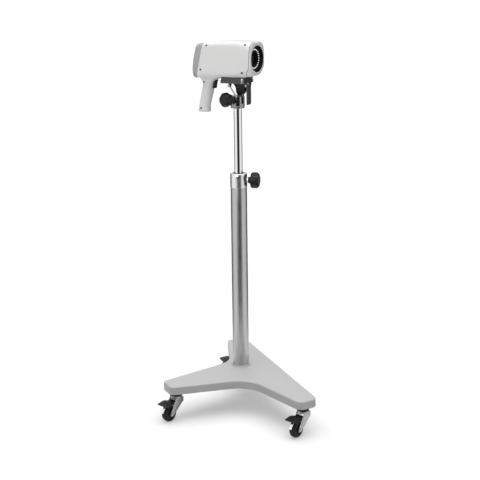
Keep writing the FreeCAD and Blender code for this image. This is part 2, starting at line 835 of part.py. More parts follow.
def make_levers():
    """Front clamp paddle and thin release lever, both hung under the carrier."""
    pin_radius = S.lever_pin_radius
    x = S.clamp_pivot_x
    foot = pivot_high - S.clamp_lever_long
    face = x + S.clamp_lever_thick
    clamp = new_body("clamp_lever")
    sketch = sketch_on(clamp, "XZ_Plane")
    draw_outline(sketch, [
        (x - 4, pivot_high, 4), (x, pivot_high - 4), (x, foot), (x + 2, foot, 6),
        (face, foot + 6), (face, pivot_high + 1), (x + 3, pivot_high + 4),
        (x, pivot_high + 4, 4)])
    pad(clamp, sketch, S.clamp_lever_width, "both")
    bore = sketch_on(clamp, "XZ_Plane")
    draw_circle(bore, x, pivot_high, pin_radius + S.run_gap)
    pocket(clamp, bore, S.clamp_lever_width * 2, "both")
    fillet(clamp, 2.0, lambda edge: runs_along(edge, Z_AXIS) and close_to(middle(edge).x, face))

    side = S.clamp_lever_width / 2 + S.free_gap + lug_thick
    pins = doc.addObject("Part::Compound", "lever_pins")
    pins.Label = "lever_pins"
    pins.Links = [
        cylinder("clamp_pin", pin_radius, side * 2, (x, side, pivot_high), [(X_AXIS, 90)]),
        cylinder("release_pin", pin_radius, 10,
                 (S.release_pivot_x, S.release_side + 6.5, pivot_high), [(X_AXIS, 90)])]
    nodes.append(pins)

    make_release_lever()


def make_release_lever():
    """Round hub on its pin, and a thin rod that leans forward and down from it."""
    lean = math.degrees(math.atan2(S.release_reach_x.value, S.release_reach_down.value))
    length = math.hypot(S.release_reach_x.value, S.release_reach_down.value)
    place = (S.release_pivot_x, S.release_side, pivot_high)
    lever = new_body("release_lever", place, [(Y_AXIS, 180 - lean)])
    sketch = sketch_on(lever, "XZ_Plane")
    draw_circle(sketch, 0, 0, 4)
    pad(lever, sketch, 4.4, "both")
    radius = S.release_rod_radius
    rod = sketch_on(lever, "XZ_Plane")
    draw_outline(rod, [
        (0, 0), (radius, 0), (radius, length - 4), (radius + 1, length - 3),
        (radius + 1, length - 1), (radius, length), (0, length)])
    revolve(lever, rod)
    bore = sketch_on(lever, "XZ_Plane")
    draw_circle(bore, 0, 0, S.lever_pin_radius + S.run_gap)
    pocket(lever, bore, 10, "both")


crown_rise_rear = S.housing_crown - S.seam_top_high
crown_run_rear = S.housing_crown_x - S.seam_top_x
crown_rise_front = S.housing_crown - S.housing_front_top
crown_run_front = S.housing_front - S.housing_crown_x
lens_centre = deck + S.lens_high
half_width = S.housing_width / 2


def arc_radius(run, rise):
    """The radius of an arc that starts level and falls by `rise` over `run`."""
    return (run * run + rise * rise) / (2 * rise)


def housing_side(inset, past_seam):
    """Side outline of the housing: flat over the plate, keel behind, arched crown."""
    rear = arc_radius(crown_run_rear, crown_rise_rear)
    front = arc_radius(crown_run_front, crown_rise_front)
    front_x = S.housing_front - inset
    return [
        (S.seam_low_x - past_seam, deck - S.seam_low_drop + inset),
        (-S.plate_rear - inset * 0.1, deck + inset), (S.plate_front, deck + inset),
        (front_x, deck + S.housing_front_lift + inset),
        (front_x, deck + S.housing_front_top - inset, front),
        (S.housing_crown_x, deck + S.housing_crown - inset, rear),
        (S.seam_top_x - past_seam, deck + S.seam_top_high - inset)]


HOUSING_SCREWS = ((-85.0, 84.0), (46.0, 90.0), (-100.7, 21.0), (39.0, 16.0))


def make_housing(side):
    """One half of the housing: a thin moulded shell with screw bosses and board pillars."""
    name = "right" if side < 0 else "left"
    outward = "along" if side < 0 else "against"
    wall = S.housing_wall
    body = new_body(f"housing_{name}")
    sketch = sketch_on(body, "XZ_Plane")
    draw_outline(sketch, housing_side(as_size(0), as_size(0)))
    pad(body, sketch, half_width, outward)
    cavity = sketch_on(body, "XZ_Plane")
    draw_outline(cavity, housing_side(wall, as_size(12)))
    pocket(body, cavity, half_width - wall, outward)
    inner, outer = half_width - wall, half_width

    def long_edge(edge, reach):
        flat = close_to(abs(edge.BoundBox.YMin), reach) and close_to(
            abs(edge.BoundBox.YMax), reach)
        long_one = edge.BoundBox.XLength > 20
        slanted = edge.BoundBox.ZLength > edge.BoundBox.XLength
        return flat and long_one and not slanted

    fillet(body, S.housing_round - wall, lambda edge: long_edge(edge, inner))
    fillet(body, S.housing_round, lambda edge: long_edge(edge, outer))
    mouth = sketch_on(body, "YZ_Plane", S.housing_front)
    draw_circle(mouth, 0, lens_centre, S.lens_face_radius + S.run_gap)
    pocket(body, mouth, wall * 2, "against")
    bosses = sketch_on(body, "XZ_Plane")
    for forward, up in HOUSING_SCREWS:
        draw_circle(bosses, forward, deck + up, 4.5)
    pad(body, bosses, half_width - wall / 2, outward)
    holes = sketch_on(body, "XZ_Plane")
    for forward, up in HOUSING_SCREWS:
        draw_circle(holes, forward, deck + up, S.screw_shank_radius + S.run_gap)
    pocket(body, holes, half_width * 2, outward)
    pillars = sketch_on(body, "XY_Plane", deck + wall / 2)
    for x in BOARD_PILLARS:
        draw_circle(pillars, x, side * board_pillar_y, 3)
    pad(body, pillars, board_lift - wall / 2)
    nut = sketch_on(body, "XY_Plane", deck)
    draw_circle(nut, screw_x, 0, S.camera_screw_radius + S.run_gap)
    pocket(body, nut, wall * 2, "along")
    return body


BOARD_PILLARS = (-34.0, 24.0)
board_pillar_y = as_size(22)
board_lift = as_size(7)


def make_front():
    """Bezel, black lens face with its lamps, lens barrel and front glass."""
    bezel = new_body("front_bezel")
    sketch = sketch_on(bezel, "YZ_Plane", S.housing_front)
    half, rise = S.bezel_width / 2, S.bezel_high / 2
    draw_box(sketch, -half, lens_centre - rise, half, lens_centre + rise)
    pad(bezel, sketch, S.bezel_thick)
    fillet(bezel, S.bezel_round, lambda edge: runs_along(edge, X_AXIS))
    front = S.housing_front + S.bezel_thick
    fillet(bezel, 3.0, lambda edge: close_to(edge.BoundBox.XMin, front) and close_to(
        edge.BoundBox.XMax, front))
    bore = sketch_on(bezel, "YZ_Plane", front)
    draw_circle(bore, 0, lens_centre, S.lens_face_radius + S.run_gap)
    pocket(bezel, bore, S.bezel_thick * 2, "against")

    lens_turns = [(Y_AXIS, 90)]
    at = (S.housing_front, 0, lens_centre)
    rim_front = S.bezel_thick - 0.5
    lamp_plane = S.bezel_thick - S.lens_recess
    face_front = lamp_plane + 1.5
    face = turned("lens_face", [
        (S.barrel_radius + S.run_gap, -S.housing_wall), (S.lens_face_radius, -S.housing_wall),
        (S.lens_face_radius, rim_front), (S.lens_face_radius - 1.5, rim_front),
        (S.lens_face_radius - 4, lamp_plane), (S.barrel_radius + S.run_gap, lamp_plane)],
        at, lens_turns)
    lamp_hole = sketch_on(face, "XY_Plane", -S.housing_wall)
    draw_circle(lamp_hole, S.led_ring_radius, 0, S.led_radius + S.run_gap)
    first = pocket(face, lamp_hole, S.bezel_thick * 3, "along")
    ring = face.newObject("PartDesign::PolarPattern", "lens_face_lamp_holes")
    ring.Originals = [first]
    ring.Axis = (lamp_hole, ["N_Axis"])
    ring.Angle = 360.0
    ring.Occurrences = int(S.led_count.value)
    face.Tip = ring
    doc.recompute()

    board_front = -S.housing_wall
    turned("led_board", [
        (S.barrel_radius + S.free_gap, board_front - 1.6),
        (S.lens_face_radius - 1, board_front - 1.6), (S.lens_face_radius - 1, board_front),
        (S.barrel_radius + S.free_gap, board_front)], at, lens_turns)
    lamps = doc.addObject("Part::Compound", "led_lamps")
    lamps.Label = "led_lamps"
    links = []
    for number in range(int(S.led_count.value)):
        angle = as_size(360.0 * number / S.led_count.value)
        links.append(cylinder(
            f"led_lamp_{number}", S.led_radius, lamp_plane - board_front + 0.6,
            (S.housing_front + board_front, S.led_ring_radius * sine(angle),
             lens_centre + S.led_ring_radius * cosine(angle)), [(Y_AXIS, 90)]))
    lamps.Links = links
    nodes.append(lamps)

    rear = face_front + 0.5 - S.barrel_long
    bore = S.barrel_bore
    turned("lens_barrel", [
        (bore - 3, rear), (S.barrel_radius, rear), (S.barrel_radius, face_front),
        (S.barrel_radius - 0.5, face_front + 0.5), (S.barrel_radius - 1.5, face_front + 0.5),
        (bore + 1, face_front - 4), (bore + 1, face_front - 6), (bore, face_front - 6),
        (bore, face_front - 12), (bore - 3, face_front - 12)], at, lens_turns)
    turned("front_glass", [
        (0, face_front - 12), (bore, face_front - 12), (bore, face_front - 8.5),
        (bore * 0.6, face_front - 7), (0, face_front - 6.4)], at, lens_turns)

    module = new_body("camera_module")
    sketch = sketch_on(module, "YZ_Plane", S.housing_front + rear)
    draw_box(sketch, -20, lens_centre - 20, 20, lens_centre + 20)
    pad(module, sketch, 36, "against")
    fillet(module, 3.0, lambda edge: runs_along(edge, X_AXIS))

    board = new_body("main_board")
    sketch = sketch_on(board, "XY_Plane", deck + board_lift)
    draw_box(sketch, -40, -28, 30, 28)
    pad(board, sketch, 1.6)


def make_rear_cap():
    """Grey moulded cap behind the slanted seam."""
    body = new_body("rear_cap")
    low = deck - S.seam_low_drop
    sketch = sketch_on(body, "XZ_Plane")
    draw_outline(sketch, [
        (S.seam_low_x, low), (S.seam_top_x, deck + S.seam_top_high, S.cap_back_arc)])
    pad(body, sketch, S.housing_width, "both")

    def outer_edge(edge):
        flat = close_to(abs(edge.BoundBox.YMin), half_width) and close_to(
            abs(edge.BoundBox.YMax), half_width)
        return flat and not isinstance(edge.Curve, Part.Line)

    fillet(body, S.housing_round - 1, outer_edge)
    return body


def keel_high(x):
    """Height of the housing's underside behind the plate."""
    run = -S.plate_rear - S.seam_low_x
    return deck - S.seam_low_drop * (-S.plate_rear - x) / run


def make_grip(side):
    """One half of the pistol grip, with its slot for the trigger and the cable's way out."""
    name = "right" if side < 0 else "left"
    outward = "along" if side < 0 else "against"
    foot = deck - S.grip_foot_drop
    body = new_body(f"grip_{name}")
    flare = deck - 42
    sketch = sketch_on(body, "XZ_Plane")
    draw_outline(sketch, [
        (S.grip_foot_back, foot), (S.grip_foot_front, foot), (S.grip_foot_front + 2, foot + 7),
        (S.grip_front, flare, -S.grip_flare_arc),
        (S.grip_root_front, keel_high(S.grip_root_front)),
        (S.grip_root_back, keel_high(S.grip_root_back), -S.grip_flare_arc),
        (S.grip_back, flare), (S.grip_foot_back - 1, foot + 8)])
    pad(body, sketch, S.grip_width / 2, outward)

    def outer_edge(edge):
        flat = close_to(abs(edge.BoundBox.YMin), S.grip_width / 2) and close_to(
            abs(edge.BoundBox.YMax), S.grip_width / 2)
        level = edge.BoundBox.XLength > edge.BoundBox.ZLength * 2
        return flat and not level

    fillet(body, S.grip_round, outer_edge)
    slot = sketch_on(body, "XZ_Plane")
    back = S.trigger_pivot_x - 12
    draw_box(slot, back, slot_low, S.grip_root_front - 4, slot_high)
    pocket(body, slot, S.trigger_width / 2 + S.free_gap, outward)
    pin_hole = sketch_on(body, "XZ_Plane")
    draw_circle(pin_hole, S.trigger_pivot_x, trigger_pivot_high, S.trigger_pin_radius)
    pocket(body, pin_hole, S.grip_width * 0.36, outward)
    cable = sketch_on(body, "XY_Plane", foot)
    draw_circle(cable, grip_middle, 0, S.cable_hole_radius)
    pocket(body, cable, 20, "along")
    holes = sketch_on(body, "XZ_Plane")
    for x, drop in GRIP_SCREWS:
        draw_circle(holes, x, deck - drop, S.screw_shank_radius + S.run_gap)
    pocket(body, holes, S.grip_width, outward)
    return body


trigger_pivot_high = deck - S.trigger_pivot_drop
slot_high = trigger_pivot_high + 6
slot_low = trigger_pivot_high - S.trigger_long - 2
grip_middle = (S.grip_foot_front + S.grip_foot_back) / 2
GRIP_SCREWS = ((-104.0, 18.0), (-117.5, 97.0))


def make_trigger():
    """Finger trigger on its pin, and the switch that it presses."""
    x, z = S.trigger_pivot_x, trigger_pivot_high
    body = new_body("trigger")
    sketch = sketch_on(body, "XZ_Plane")
    foot = z - S.trigger_long
    draw_outline(sketch, [
        (x - 4, z, 4), (x, z - 4), (x + 1, z - 14), (x - 1, foot), (x + 7, foot),
        (x + 9, z - 12, -30), (x + 13, z + 3), (x + 4, z + 4), (x, z + 4, 4)])
    pad(body, sketch, S.trigger_width, "both")
    bore = sketch_on(body, "XZ_Plane")
    draw_circle(bore, x, z, S.trigger_pin_radius + S.run_gap)
    pocket(body, bore, S.trigger_width * 2, "both")
    pin("trigger_pin", S.trigger_pin_radius, S.grip_width * 0.36, x, z)
    switch = new_body("trigger_switch")
    sketch = sketch_on(switch, "XZ_Plane")
    draw_box(sketch, x - 12, z - 20, x - 6, z - 8)
    pad(switch, sketch, 8, "both")


def screws_from_sides(label, places, half, sides):
    """Pan-head screws through the side walls, all in one node."""
    compound = doc.addObject("Part::Compound", label)
    compound.Label = label
    links = []
    for number, (x, z) in enumerate(places):
        for side in sides:
            turn = 90 if side < 0 else -90
            name = f"{label}_{number}_{'right' if side < 0 else 'left'}"
            shank = cylinder(f"{name}_shank", S.screw_shank_radius, half * 0.7,
                             (x, half * side * 0.3, z), [(X_AXIS, turn)])
            head = cylinder(f"{name}_head", S.screw_head_radius, S.screw_head_thick,
                            (x, half * side, z), [(X_AXIS, turn)])
            links.append(fuse(name, [shank, head]))
    compound.Links = links
    nodes.append(compound)


def make_castor(name):
    """Braked swivel castor: cup with its king pin, fork, axle, wheel and pedal."""
    cx, cy = castor_place(name)
    turn = S.rear_castor_turn if name == "rear" else S.front_castor_turn
    turns = [(Z_AXIS, turn)]
    at = (cx, cy, 0)
    crown_top = spider_bottom - S.cup_high - S.free_gap
    crown_low = crown_top - S.crown_thick
    head_top = crown_low - S.free_gap
    cup_low = crown_top + S.free_gap
    pin_radius = S.king_pin_radius
    turned(f"{name}_castor_cup", [
        (0, head_top - 3), (pin_radius + 3, head_top - 3), (pin_radius + 3, head_top),
        (pin_radius, head_top), (pin_radius, cup_low), (S.cup_radius - 2, cup_low),
        (S.cup_radius - 2, cup_low + S.cup_race), (S.cup_radius, cup_low + S.cup_race),
        (S.cup_radius, spider_bottom - 1), (S.cup_radius - 1, spider_bottom),
        (pin_radius, spider_bottom), (pin_radius, spider_top + 8), (0, spider_top + 8)],
        at, turns)

    trail, axle_high = S.castor_trail, S.wheel_radius
    outside = S.fork_inside + 2 * S.fork_sheet
    fork = new_body(f"{name}_castor_fork", at, turns)
    sketch = sketch_on(fork, "XZ_Plane")
    rear_x = 2 - S.crown_radius
    draw_outline(sketch, [
        (rear_x, crown_low + 1), (rear_x, crown_low - 14), (trail - 8, axle_high, 8),
        (trail, axle_high - 8, 8), (trail + 8, axle_high), (trail - 7, crown_low - 8), (S.crown_radius - 2, crown_low + 1)])
    pad(fork, sketch, outside, "both")
    gap = sketch_on(fork, "XZ_Plane")
    draw_box(gap, rear_x + S.fork_sheet, 0, trail + 30, crown_low)
    pocket(fork, gap, S.fork_inside, "both")
    crown = sketch_on(fork, "XY_Plane", crown_low)
    draw_circle(crown, 0, 0, S.crown_radius)
    pad(fork, crown, S.crown_thick)
    fillet(fork, 1.5, lambda edge: close_to(edge.BoundBox.ZMin, crown_top)
           and close_to(edge.BoundBox.ZMax, crown_top))
    hole = sketch_on(fork, "XY_Plane", crown_top)
    draw_circle(hole, 0, 0, pin_radius + S.run_gap)
    pocket(fork, hole, S.crown_thick, "against")
    bores = sketch_on(fork, "XZ_Plane")
    draw_circle(bores, trail, axle_high, S.axle_radius)
    draw_circle(bores, S.pedal_pivot_x, S.pedal_pivot_high, S.pedal_pin_radius + S.run_gap)
    pocket(fork, bores, outside * 2, "both")

    wheel_at = (cx + trail * cosine(turn), cy + trail * sine(turn), axle_high)
    wheel_turns = [(X_AXIS, 90), (Z_AXIS, turn)]
    half, hub = S.wheel_width / 2, S.wheel_hub_radius
    rim = S.wheel_radius
    shoulder = rim - S.tread_crown
    crown_arc = arc_radius(half - 4, S.tread_crown)
    turned(f"{name}_castor_tread", [
        (hub, -half), (rim - 4, -half), (shoulder, 4 - half, crown_arc), (rim, 0, crown_arc),
        (shoulder, half - 4), (rim - 4, half), (hub, half)], wheel_at, wheel_turns)
    bore = S.axle_radius + S.run_gap
    turned(f"{name}_castor_core", [
        (bore, -half - 1.5), (7, -half - 1.5), (8, 2 - half), (hub - 2, 3 - half), (hub, 1 - half),
        (hub, half - 1), (hub - 2, half - 3), (8, half - 2), (7, half + 1.5), (bore, half + 1.5)],
        wheel_at, wheel_turns)
    end = outside / 2
    turned(f"{name}_castor_axle", [
        (0, -end - 2.5), (6.5, -end - 2.5), (6.5, -end), (S.axle_radius, -end),
        (S.axle_radius, end), (6.5, end), (6.5, end + 2.5), (0, end + 2.5)],
        wheel_at, wheel_turns)

    pedal = new_body(f"{name}_castor_pedal", at, turns)
    px, pz = S.pedal_pivot_x, S.pedal_pivot_high
    arm = sketch_on(pedal, "XZ_Plane")
    draw_outline(arm, [
        (px - 4, pz, 4), (px, pz - 4), (px + 12, pz - 1), (px + 15, pz - 3.4), (px + 23, pz - 3.4),
        (px + 25, pz - 1), (px + 25, pz + 3.9), (px + 4, pz + 6), (px, pz + 5)])
    pad(pedal, arm, S.fork_inside - 3, "both")
    tread = sketch_on(pedal, "XZ_Plane")
    draw_outline(tread, [
        (px + 14, pz + 2.2), (S.pedal_reach, pz - 2), (S.pedal_reach + 1, pz),
        (px + 14, pz + 5)])
    pad(pedal, tread, S.pedal_width, "both")
    rivet = sketch_on(pedal, "XZ_Plane")
    draw_circle(rivet, px, pz, S.pedal_pin_radius)
    pad(pedal, rivet, outside + 1, "both")


def build_all():
    make_base_shell()
    make_spider()
    make_base_screws()
    make_column()
    make_collar()
    make_pole()
    make_knobs()
    make_socket()
    make_tilt_block()
    pin("tilt_axle", S.tilt_axle_radius,
        S.tongue_width / 2 + S.free_gap + S.tilt_ear_thick, S.tilt_axis_x,
        S.tilt_axis_high, 6.5, 2.5)
    make_plates()
    make_levers()
    for side in (-1, 1):
        make_housing(side)
        make_grip(side)
    make_front()
    make_rear_cap()
    make_trigger()
    housing_places = [(forward, deck + up) for forward, up in HOUSING_SCREWS]
    screws_from_sides("housing_screws", housing_places, half_width, (-1, 1))
    grip_places = [(x, deck - drop) for x, drop in GRIP_SCREWS]
    screws_from_sides("grip_screws", grip_places, S.grip_width / 2, (-1,))
    for name in LEGS:
        make_castor(name)


def check_and_write():
    """Refuse a failed object or a broken solid, then write each node's file."""
    doc.recompute()
    for item in doc.Objects:
        if "Invalid" in item.State or "Error" in item.State:
            raise ValueError(f"{item.Name} failed: {item.State}")
    for node in nodes:
        shape = node.Shape
        if shape.isNull() or not shape.isValid() or not shape.Solids:
            raise ValueError(f"{node.Label} has no valid solid")
    os.makedirs("parts", exist_ok=True)
    for node in nodes:
        node.Shape.exportStep(f"parts/{node.Label}.step")
        print(node.Label, len(node.Shape.Solids), round(node.Shape.Volume))


build_all()
check_and_write()
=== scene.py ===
"""Looks of the video colposcope: finishes, fine pieces, studio light and camera.

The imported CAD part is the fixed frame. Lengths are metres in that frame: the floor is
z = 0 and +X is the direction in which the camera head looks. Pieces are drawn in
millimetres, from the column's axis on the floor or in a frame of their own.
"""

import json
import logging
import math
from dataclasses import dataclass
from enum import Enum
from typing import Callable, Optional, Sequence

import bmesh
import bpy
from mathutils import Matrix, Vector

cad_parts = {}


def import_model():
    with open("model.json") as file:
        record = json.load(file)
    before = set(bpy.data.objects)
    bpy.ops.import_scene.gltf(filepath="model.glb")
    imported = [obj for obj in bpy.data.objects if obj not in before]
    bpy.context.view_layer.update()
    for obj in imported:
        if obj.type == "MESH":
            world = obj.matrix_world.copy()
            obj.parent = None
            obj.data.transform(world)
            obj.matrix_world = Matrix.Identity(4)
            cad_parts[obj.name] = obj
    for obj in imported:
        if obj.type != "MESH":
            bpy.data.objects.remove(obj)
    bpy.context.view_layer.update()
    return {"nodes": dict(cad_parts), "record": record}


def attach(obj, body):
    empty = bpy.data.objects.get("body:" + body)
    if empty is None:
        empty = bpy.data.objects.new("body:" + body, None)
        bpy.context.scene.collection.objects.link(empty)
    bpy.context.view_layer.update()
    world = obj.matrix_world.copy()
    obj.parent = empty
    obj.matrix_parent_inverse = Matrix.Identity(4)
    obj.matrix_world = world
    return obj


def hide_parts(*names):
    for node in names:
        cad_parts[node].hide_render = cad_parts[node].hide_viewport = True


log = logging.getLogger("colposcope")

MM = 0.001
FULL_TURN = 2.0 * math.pi
AXIS = Vector((-0.08037, 0.03473, 0.0))  # the column's axis on the floor
STILL = Matrix.Identity(4)
UPRIGHT = Matrix.Rotation(math.radians(90), 4, "X")  # a flat outline's y becomes height
WHITE = (1.0, 1.0, 1.0, 1.0)

Colour = tuple[float, float, float]
Corners = Sequence[tuple[float, ...]]
Line = list[tuple[float, float]]
Bend = Callable[[float, float, float], tuple[float, float]]
Socket = bpy.types.NodeSocket


class Kind(Enum):
    """How a surface answers light."""

    PLASTIC = "plastic"
    METAL = "metal"
    GLASS = "glass"


class Texture(Enum):
    """The fine relief of a surface, as noise scales along X, Y and Z."""

    SMOOTH = (60.0, 60.0, 60.0)
    GRAIN = (1400.0, 1400.0, 1400.0)
    DRAWN_Z = (900.0, 900.0, 14.0)
    CAST = (420.0, 420.0, 420.0)


@dataclass(frozen=True)
class Finish:
    """One paint, plastic or metal.

    Attributes:
        colour: Linear base colour.
        roughness: Mean roughness.
        kind: How the surface answers light.
        texture: Which fine relief it has.
        relief: Depth of that relief in metres.
        drift: Share by which the colour wanders over the surface.
        spread: By how much the roughness wanders.
        coat: Weight of the clear coat.
        edge: Radius in metres over which hard edges catch the light.
        gloss: Strength of the mirror part of a plastic.
        glow: Strength of its own light.
    """

    colour: Colour
    roughness: float
    kind: Kind = Kind.PLASTIC
    texture: Texture = Texture.SMOOTH
    relief: float = 0.00002
    drift: float = 0.04
    spread: float = 0.06
    coat: float = 0.0
    edge: float = 0.0006
    gloss: float = 0.5
    glow: float = 0.0


FINISHES: dict[str, Finish] = {
    "base_grey": Finish((0.50, 0.50, 0.505), 0.40, coat=0.1, edge=0.001),
    "column_steel": Finish((0.49, 0.49, 0.485), 0.33, Kind.METAL, Texture.DRAWN_Z, 0.000004,
                           0.03, 0.03),
    "chrome": Finish((0.84, 0.845, 0.86), 0.08, Kind.METAL, relief=0.000003, spread=0.02),
    "zinc": Finish((0.40, 0.405, 0.415), 0.24, Kind.METAL, Texture.CAST, 0.00001, 0.08),
    "polished_alu": Finish((0.80, 0.80, 0.79), 0.27, Kind.METAL, relief=0.000004),
    "plain_steel": Finish((0.30, 0.305, 0.31), 0.45, Kind.METAL, Texture.CAST),
    "screw_steel": Finish((0.010, 0.010, 0.011), 0.4, Kind.METAL, spread=0.1, edge=0.0002),
    "black_chrome": Finish((0.30, 0.30, 0.31), 0.12, Kind.METAL, relief=0.000004,
                           spread=0.02),
    "gloss_black": Finish((0.006, 0.006, 0.0065), 0.3, texture=Texture.CAST, gloss=0.3),
    "dark_plate": Finish((0.055, 0.056, 0.058), 0.34, texture=Texture.GRAIN, relief=0.000008,
                         edge=0.0009, coat=0.3),
    "knob_black": Finish((0.008, 0.0084, 0.0095), 0.34, texture=Texture.GRAIN,
                         relief=0.00001, gloss=0.3),
    "lever_grey": Finish((0.05, 0.051, 0.054), 0.4, texture=Texture.CAST, edge=0.0008),
    "white_housing": Finish((0.80, 0.80, 0.795), 0.38, texture=Texture.GRAIN,
                            relief=0.000005, drift=0.02, coat=0.15),
    "pale_grey": Finish((0.43, 0.432, 0.435), 0.42, texture=Texture.GRAIN, relief=0.000008),
    "mid_grey": Finish((0.20, 0.203, 0.21), 0.44, texture=Texture.GRAIN, relief=0.00001),
    "lens_black": Finish((0.005, 0.005, 0.0055), 0.45, gloss=0.15, edge=0.0003),
    "lamp_white": Finish((0.85, 0.85, 0.82), 0.15, coat=0.6, edge=0.0003, glow=0.8),
    "glass": Finish((0.02, 0.022, 0.026), 0.03, Kind.GLASS, edge=0.0002, gloss=0.35),
    "board_green": Finish((0.02, 0.12, 0.05), 0.4, coat=0.3),
    "guide_nylon": Finish((0.7, 0.69, 0.65), 0.5),
    "tread_rubber": Finish((0.010, 0.010, 0.011), 0.5, texture=Texture.GRAIN, gloss=0.3),
    "core_grey": Finish((0.02, 0.02, 0.022), 0.42, texture=Texture.CAST, gloss=0.4),
}


class NodeGraph:
    """A thin hand on a node tree: makes nodes, sets their sockets and links them."""

    def __init__(self, tree: bpy.types.NodeTree) -> None:
        """Take hold of a tree."""
        self.tree = tree

    @classmethod
    def empty(cls, owner: bpy.types.ID) -> "NodeGraph":
        """The emptied node tree of a material or world."""
        owner.use_nodes = True
        owner.node_tree.nodes.clear()
        return cls(owner.node_tree)

    def add(self, kind: str, inputs: Optional[dict] = None, **settings: object
            ) -> bpy.types.Node:
        """Make a node.

        Args:
            kind: The node's type name.
            inputs: Socket name or index to a constant or to another node's output.
            **settings: Properties of the node itself.

        Returns:
            The new node.
        """
        node = self.tree.nodes.new(kind)
        for name, value in settings.items():
            setattr(node, name, value)
        for name, value in (inputs or {}).items():
            self.put(node.inputs[name], value)
        return node

    def put(self, socket: Socket, value: object) -> None:
        """Set a socket to a constant, or link another node's output to it."""
        if isinstance(value, Socket):
            self.tree.links.new(value, socket)
        else:
            socket.default_value = value

    def math(self, operation: str, first: object, second: object, **settings: object
             ) -> Socket:
        """The result of a sum, product or other operation on two values."""
        return self.add("ShaderNodeMath", {0: first, 1: second}, operation=operation,
                        **settings).outputs[0]

    def remap(self, value: object, source: tuple = (0.0, 1.0), target: tuple = (0.0, 1.0)
              ) -> Socket:
        """A value carried over from one range to another."""
        ends = zip(("From Min", "From Max", "To Min", "To Max"), (*source, *target))
        return self.add("ShaderNodeMapRange", {"Value": value, **dict(ends)}).outputs[0]

    def where(self, kind: str = "Object") -> Socket:
        """The point that is looked at, or for a world the ray's direction."""
        return self.add("ShaderNodeTexCoord").outputs[kind]

    def noise(self, place: Socket, scale: float, detail: float = 2.0,
              distortion: float = 0.0) -> Socket:
        """Soft noise about one half."""
        return self.add("ShaderNodeTexNoise", {
            "Vector": place, "Scale": scale, "Detail": detail,
            "Distortion": distortion}).outputs["Fac"]

    def mix(self, share: object, first: Socket, second: Socket) -> Socket:
        """One shader that fades into another."""
        return self.add("ShaderNodeMixShader", {0: share, 1: first, 2: second}).outputs[0]


class GroupLibrary:
    """The shared effects, each a node group that gives only colours, values or normals."""

    BEVEL_SAMPLES = 4

    def __init__(self) -> None:
        """Make the three groups."""
        self.tone = self._tone_drift()
        self.sheen = self._handling_marks()
        self.relief = self._fine_relief()

    @staticmethod
    def _group(name: str, takes: dict[str, str], gives: dict[str, str]
               ) -> tuple[NodeGraph, Sequence[Socket], Sequence[Socket]]:
        """Start a node group.

        Args:
            name: The group's name.
            takes: Label and kind of each value that goes in.
            gives: Label and kind of each value that comes out.

        Returns:
            The group's graph, the sockets to read from and those to write to.
        """
        tree = bpy.data.node_groups.new(name, "ShaderNodeTree")
        for way, labels in (("INPUT", takes), ("OUTPUT", gives)):
            for label, kind in labels.items():
                tree.interface.new_socket(label, in_out=way, socket_type=f"NodeSocket{kind}")
        entry = tree.nodes.new("NodeGroupInput").outputs
        leave = tree.nodes.new("NodeGroupOutput").inputs
        return NodeGraph(tree), entry, leave

    def _tone_drift(self) -> bpy.types.NodeTree:
        """Colour that wanders a little over the surface, at two scales.

        Returns:
            The node group.
        """
        graph, entry, leave = self._group(
            "Tone drift", {"Color": "Color", "Amount": "Float"}, {"Color": "Color"})
        place = graph.where()
        wide, fine = graph.noise(place, 7.0, 3.0), graph.noise(place, 160.0)
        centred = graph.math("SUBTRACT", graph.math("ADD", wide, fine), 1.0)
        scaled = graph.math("MULTIPLY", centred, entry["Amount"])
        mixed = graph.add("ShaderNodeHueSaturation", {
            "Value": graph.math("ADD", scaled, 1.0), "Color": entry["Color"]})
        graph.put(leave["Color"], mixed.outputs["Color"])
        return graph.tree

    def _handling_marks(self) -> bpy.types.NodeTree:
        """Roughness with faint wiped patches.

        Returns:
            The node group.
        """
        graph, entry, leave = self._group(
            "Handling marks", {"Roughness": "Float", "Spread": "Float"},
            {"Roughness": "Float"})
        patches = graph.noise(graph.where(), 38.0, 5.0, 0.6)
        swing = graph.remap(patches, (0.3, 0.7), (-1.0, 1.0))
        share = graph.math("MULTIPLY", swing, entry["Spread"])
        total = graph.math("ADD", share, entry["Roughness"], use_clamp=True)
        graph.put(leave["Roughness"], total)
        return graph.tree

    def _fine_relief(self) -> bpy.types.NodeTree:
        """Normals with rounded hard edges and the texture of the surface.

        Returns:
            The node group.
        """
        graph, entry, leave = self._group(
            "Fine relief", {"Scale": "Vector", "Depth": "Float", "Edge": "Float"},
            {"Normal": "Vector"})
        stretched = graph.add("ShaderNodeVectorMath", {0: graph.where(), 1: entry["Scale"]},
                              operation="MULTIPLY")
        edges = graph.add("ShaderNodeBevel", {"Radius": entry["Edge"]},
                          samples=self.BEVEL_SAMPLES)
        bump = graph.add("ShaderNodeBump", {
            "Strength": 1.0, "Distance": entry["Depth"],
            "Height": graph.noise(stretched.outputs[0], 1.0, 3.0),
            "Normal": edges.outputs["Normal"]})
        graph.put(leave["Normal"], bump.outputs["Normal"])
        return graph.tree


